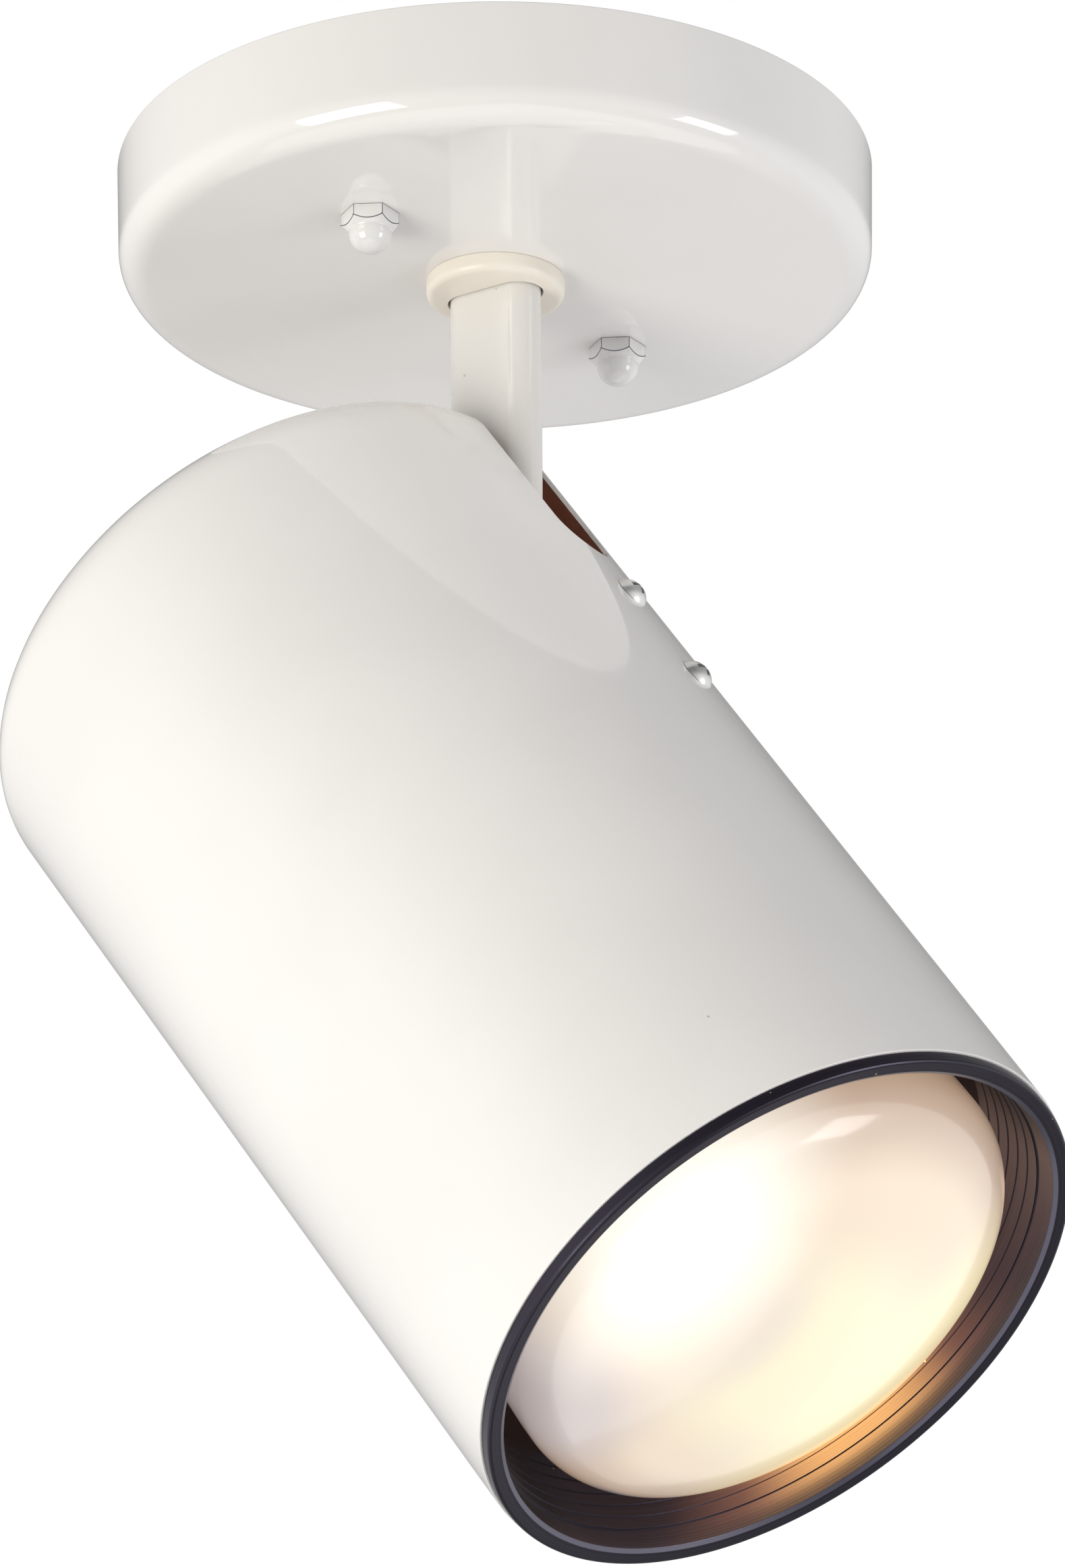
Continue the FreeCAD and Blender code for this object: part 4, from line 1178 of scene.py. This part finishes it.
@dataclass(frozen=True)
class SoftBox:
    """One soft light, by the direction that it shines from."""

    name: str
    azimuth: float
    elevation: float
    distance: float
    size: tuple[float, float]
    radiance: float
    colour: Colour = (1.0, 1.0, 1.0)
    mirrored: bool = True

    def hang(self, target: Vector) -> None:
        """Add the light, aimed at the object."""
        azimuth, elevation = math.radians(self.azimuth), math.radians(self.elevation)
        back = Vector((math.sin(azimuth) * math.cos(elevation), -math.cos(azimuth) * math.cos(elevation),
                       math.sin(elevation)))
        data = bpy.data.lights.new(self.name, "AREA")
        data.shape = "RECTANGLE"
        data.size, data.size_y = self.size
        data.color = self.colour
        data.energy = self.radiance * math.pi * self.size[0] * self.size[1]
        light = bpy.data.objects.new(self.name, data)
        light.location = target + back * self.distance
        light.rotation_euler = (-back).to_track_quat("-Z", "Y").to_euler()
        light.visible_camera = False
        light.visible_glossy = self.mirrored
        bpy.context.scene.collection.objects.link(light)


@dataclass
class Studio:
    """Camera, floor, world and soft lights."""

    eye: Point = (-1.1892, -0.9412, -0.7485)
    look: Point = (0.7260, 0.5701, 0.3845)
    roll: float = 0.0082
    lens: float = 219.2
    sensor: float = 36.0
    floor_drop: float = -2.4
    floor_size: float = 3.4
    floor_white: float = 0.9
    floor_tones: tuple[Colour, Colour] = ((0.86, 0.86, 0.86), (0.90, 0.90, 0.90))
    floor_scale: float = 3.0
    ambient: float = 0.80
    near_level: float = 0.50
    far_level: float = 0.95
    top_level: float = 0.45
    low_level: float = 0.35
    side_span: Place = (0.10, 0.85)
    far_span: Place = (0.25, 0.85)
    top_span: Place = (0.18, 0.64)
    low_span: Place = (-0.70, -0.34)
    side_walls: Point = (0.618, -0.786, 0.0)
    far_wall: Point = (0.786, 0.618, 0.0)
    middle: Point = (0.0, -0.02, -0.12)
    key: SoftBox = SoftBox("key", -97.0, -22.0, 1.5, (0.76, 0.76), 7.1, (1.0, 0.967, 0.885))
    fill: SoftBox = SoftBox("fill", 14.0, -15.0, 1.5, (0.48, 0.56), 4.4)
    bounce: SoftBox = SoftBox("bounce", 75.0, -52.0, 2.0, (2.8, 2.8), 0.66, (0.94, 0.96, 1.0), mirrored=False)

    def camera(self) -> None:
        """Camera at the photo's own place."""
        ahead = Vector(self.look).normalized()
        level = ahead.cross(Vector((0, 0, 1))).normalized()
        down = ahead.cross(level)
        right = level * math.cos(self.roll) + down * math.sin(self.roll)
        up = right.cross(ahead)
        data = bpy.data.cameras.new("photo_camera")
        data.lens = self.lens
        data.sensor_width = self.sensor
        data.clip_end = 50.0
        camera = bpy.data.objects.new("photo_camera", data)
        turned = Matrix((right, up, -ahead)).transposed().to_4x4()
        camera.matrix_world = Matrix.Translation(self.eye) @ turned
        bpy.context.scene.collection.objects.link(camera)
        bpy.context.scene.camera = camera

    def floor(self) -> None:
        """Plain pale floor, a room's height below the ceiling plane."""
        bpy.ops.object.select_all(action="DESELECT")
        bpy.ops.mesh.primitive_plane_add(size=self.floor_size, location=(0, 0, self.floor_drop))
        floor = bpy.context.object
        floor.name = "floor"
        finish = Finish("pale_floor", self.floor_tones[0], 0.7)
        material, graph = finish.graph()
        cloud = graph.noise(graph.place(), self.floor_scale)
        paint = graph.node("ShaderNodeBsdfPrincipled", inputs={
            "Base Color": graph.mix(cloud, finish.colour, self.floor_tones[1]),
            "Roughness": finish.roughness,
        })
        white = graph.node("ShaderNodeEmission", inputs={"Color": (1.0, 1.0, 1.0, 1.0), "Strength": 1.0})
        share = graph.ramp(sum(graph.rays()), 0.0, 1.0, 0.0, self.floor_white)
        surface = graph.node("ShaderNodeMixShader", inputs={0: share, 1: paint, 2: white})
        graph.node("ShaderNodeOutputMaterial", inputs={"Surface": surface})
        floor.data.materials.append(material)

    def world(self) -> None:
        """White surroundings that light the object from both sides, with darker ends of the room."""
        world = bpy.data.worlds.new("studio")
        bpy.context.scene.world = world
        world.use_nodes = True
        graph = Graph(world.node_tree)
        seen, gloss, through = graph.rays()
        toward = graph.node("ShaderNodeTexCoord", output="Generated")
        side = graph.along(toward, self.side_walls)
        walls = graph.ramp((side * side) ** 0.5, *self.side_span, self.near_level, 1.0)
        walls = walls * graph.ramp(graph.along(toward, self.far_wall), *self.far_span, 1.0, self.far_level)
        mirrored = graph.ramp(gloss + through, 0.0, 1.0)
        height = graph.axes(toward)[2]
        overhead = graph.ramp(height, *self.top_span, 1.0, self.top_level)
        below = graph.ramp(height, *self.low_span, self.low_level, 1.0)
        lit = (mirrored * overhead * below + (1 - mirrored) * self.ambient) * walls
        level = seen + (1 - seen) * lit
        light = graph.node("ShaderNodeBackground", inputs={"Color": (1.0, 1.0, 1.0, 1.0), "Strength": level})
        graph.node("ShaderNodeOutputWorld", inputs={"Surface": light})

    def lights(self) -> None:
        """Large soft light on the left, a small one on the right and a bounce from below."""
        for box in (self.key, self.fill, self.bounce):
            box.hang(Vector(self.middle))

    def build(self) -> None:
        """Set the stage."""
        self.camera()
        self.floor()
        self.world()
        self.lights()
        bpy.context.scene.view_settings.view_transform = "Standard"


def main() -> None:
    """Build every sub-assembly and set the stage."""
    logging.basicConfig(level=logging.INFO, format="%(message)s")
    pose = Pose()
    bench = Bench()
    finishes = Finishes(pose, pose.lamp(LampAssembly.tip, LampAssembly.lean_deg))
    CanopyAssembly(bench, finishes, pose, Body.CANOPY).build()
    StemAssembly(bench, finishes, pose, Body.STEM).build()
    CanAssembly(bench, finishes, pose, Body.HEAD).build()
    LampAssembly(bench, finishes, pose, Body.HEAD).build()
    Studio().build()


if __name__ == "__main__":
    main()
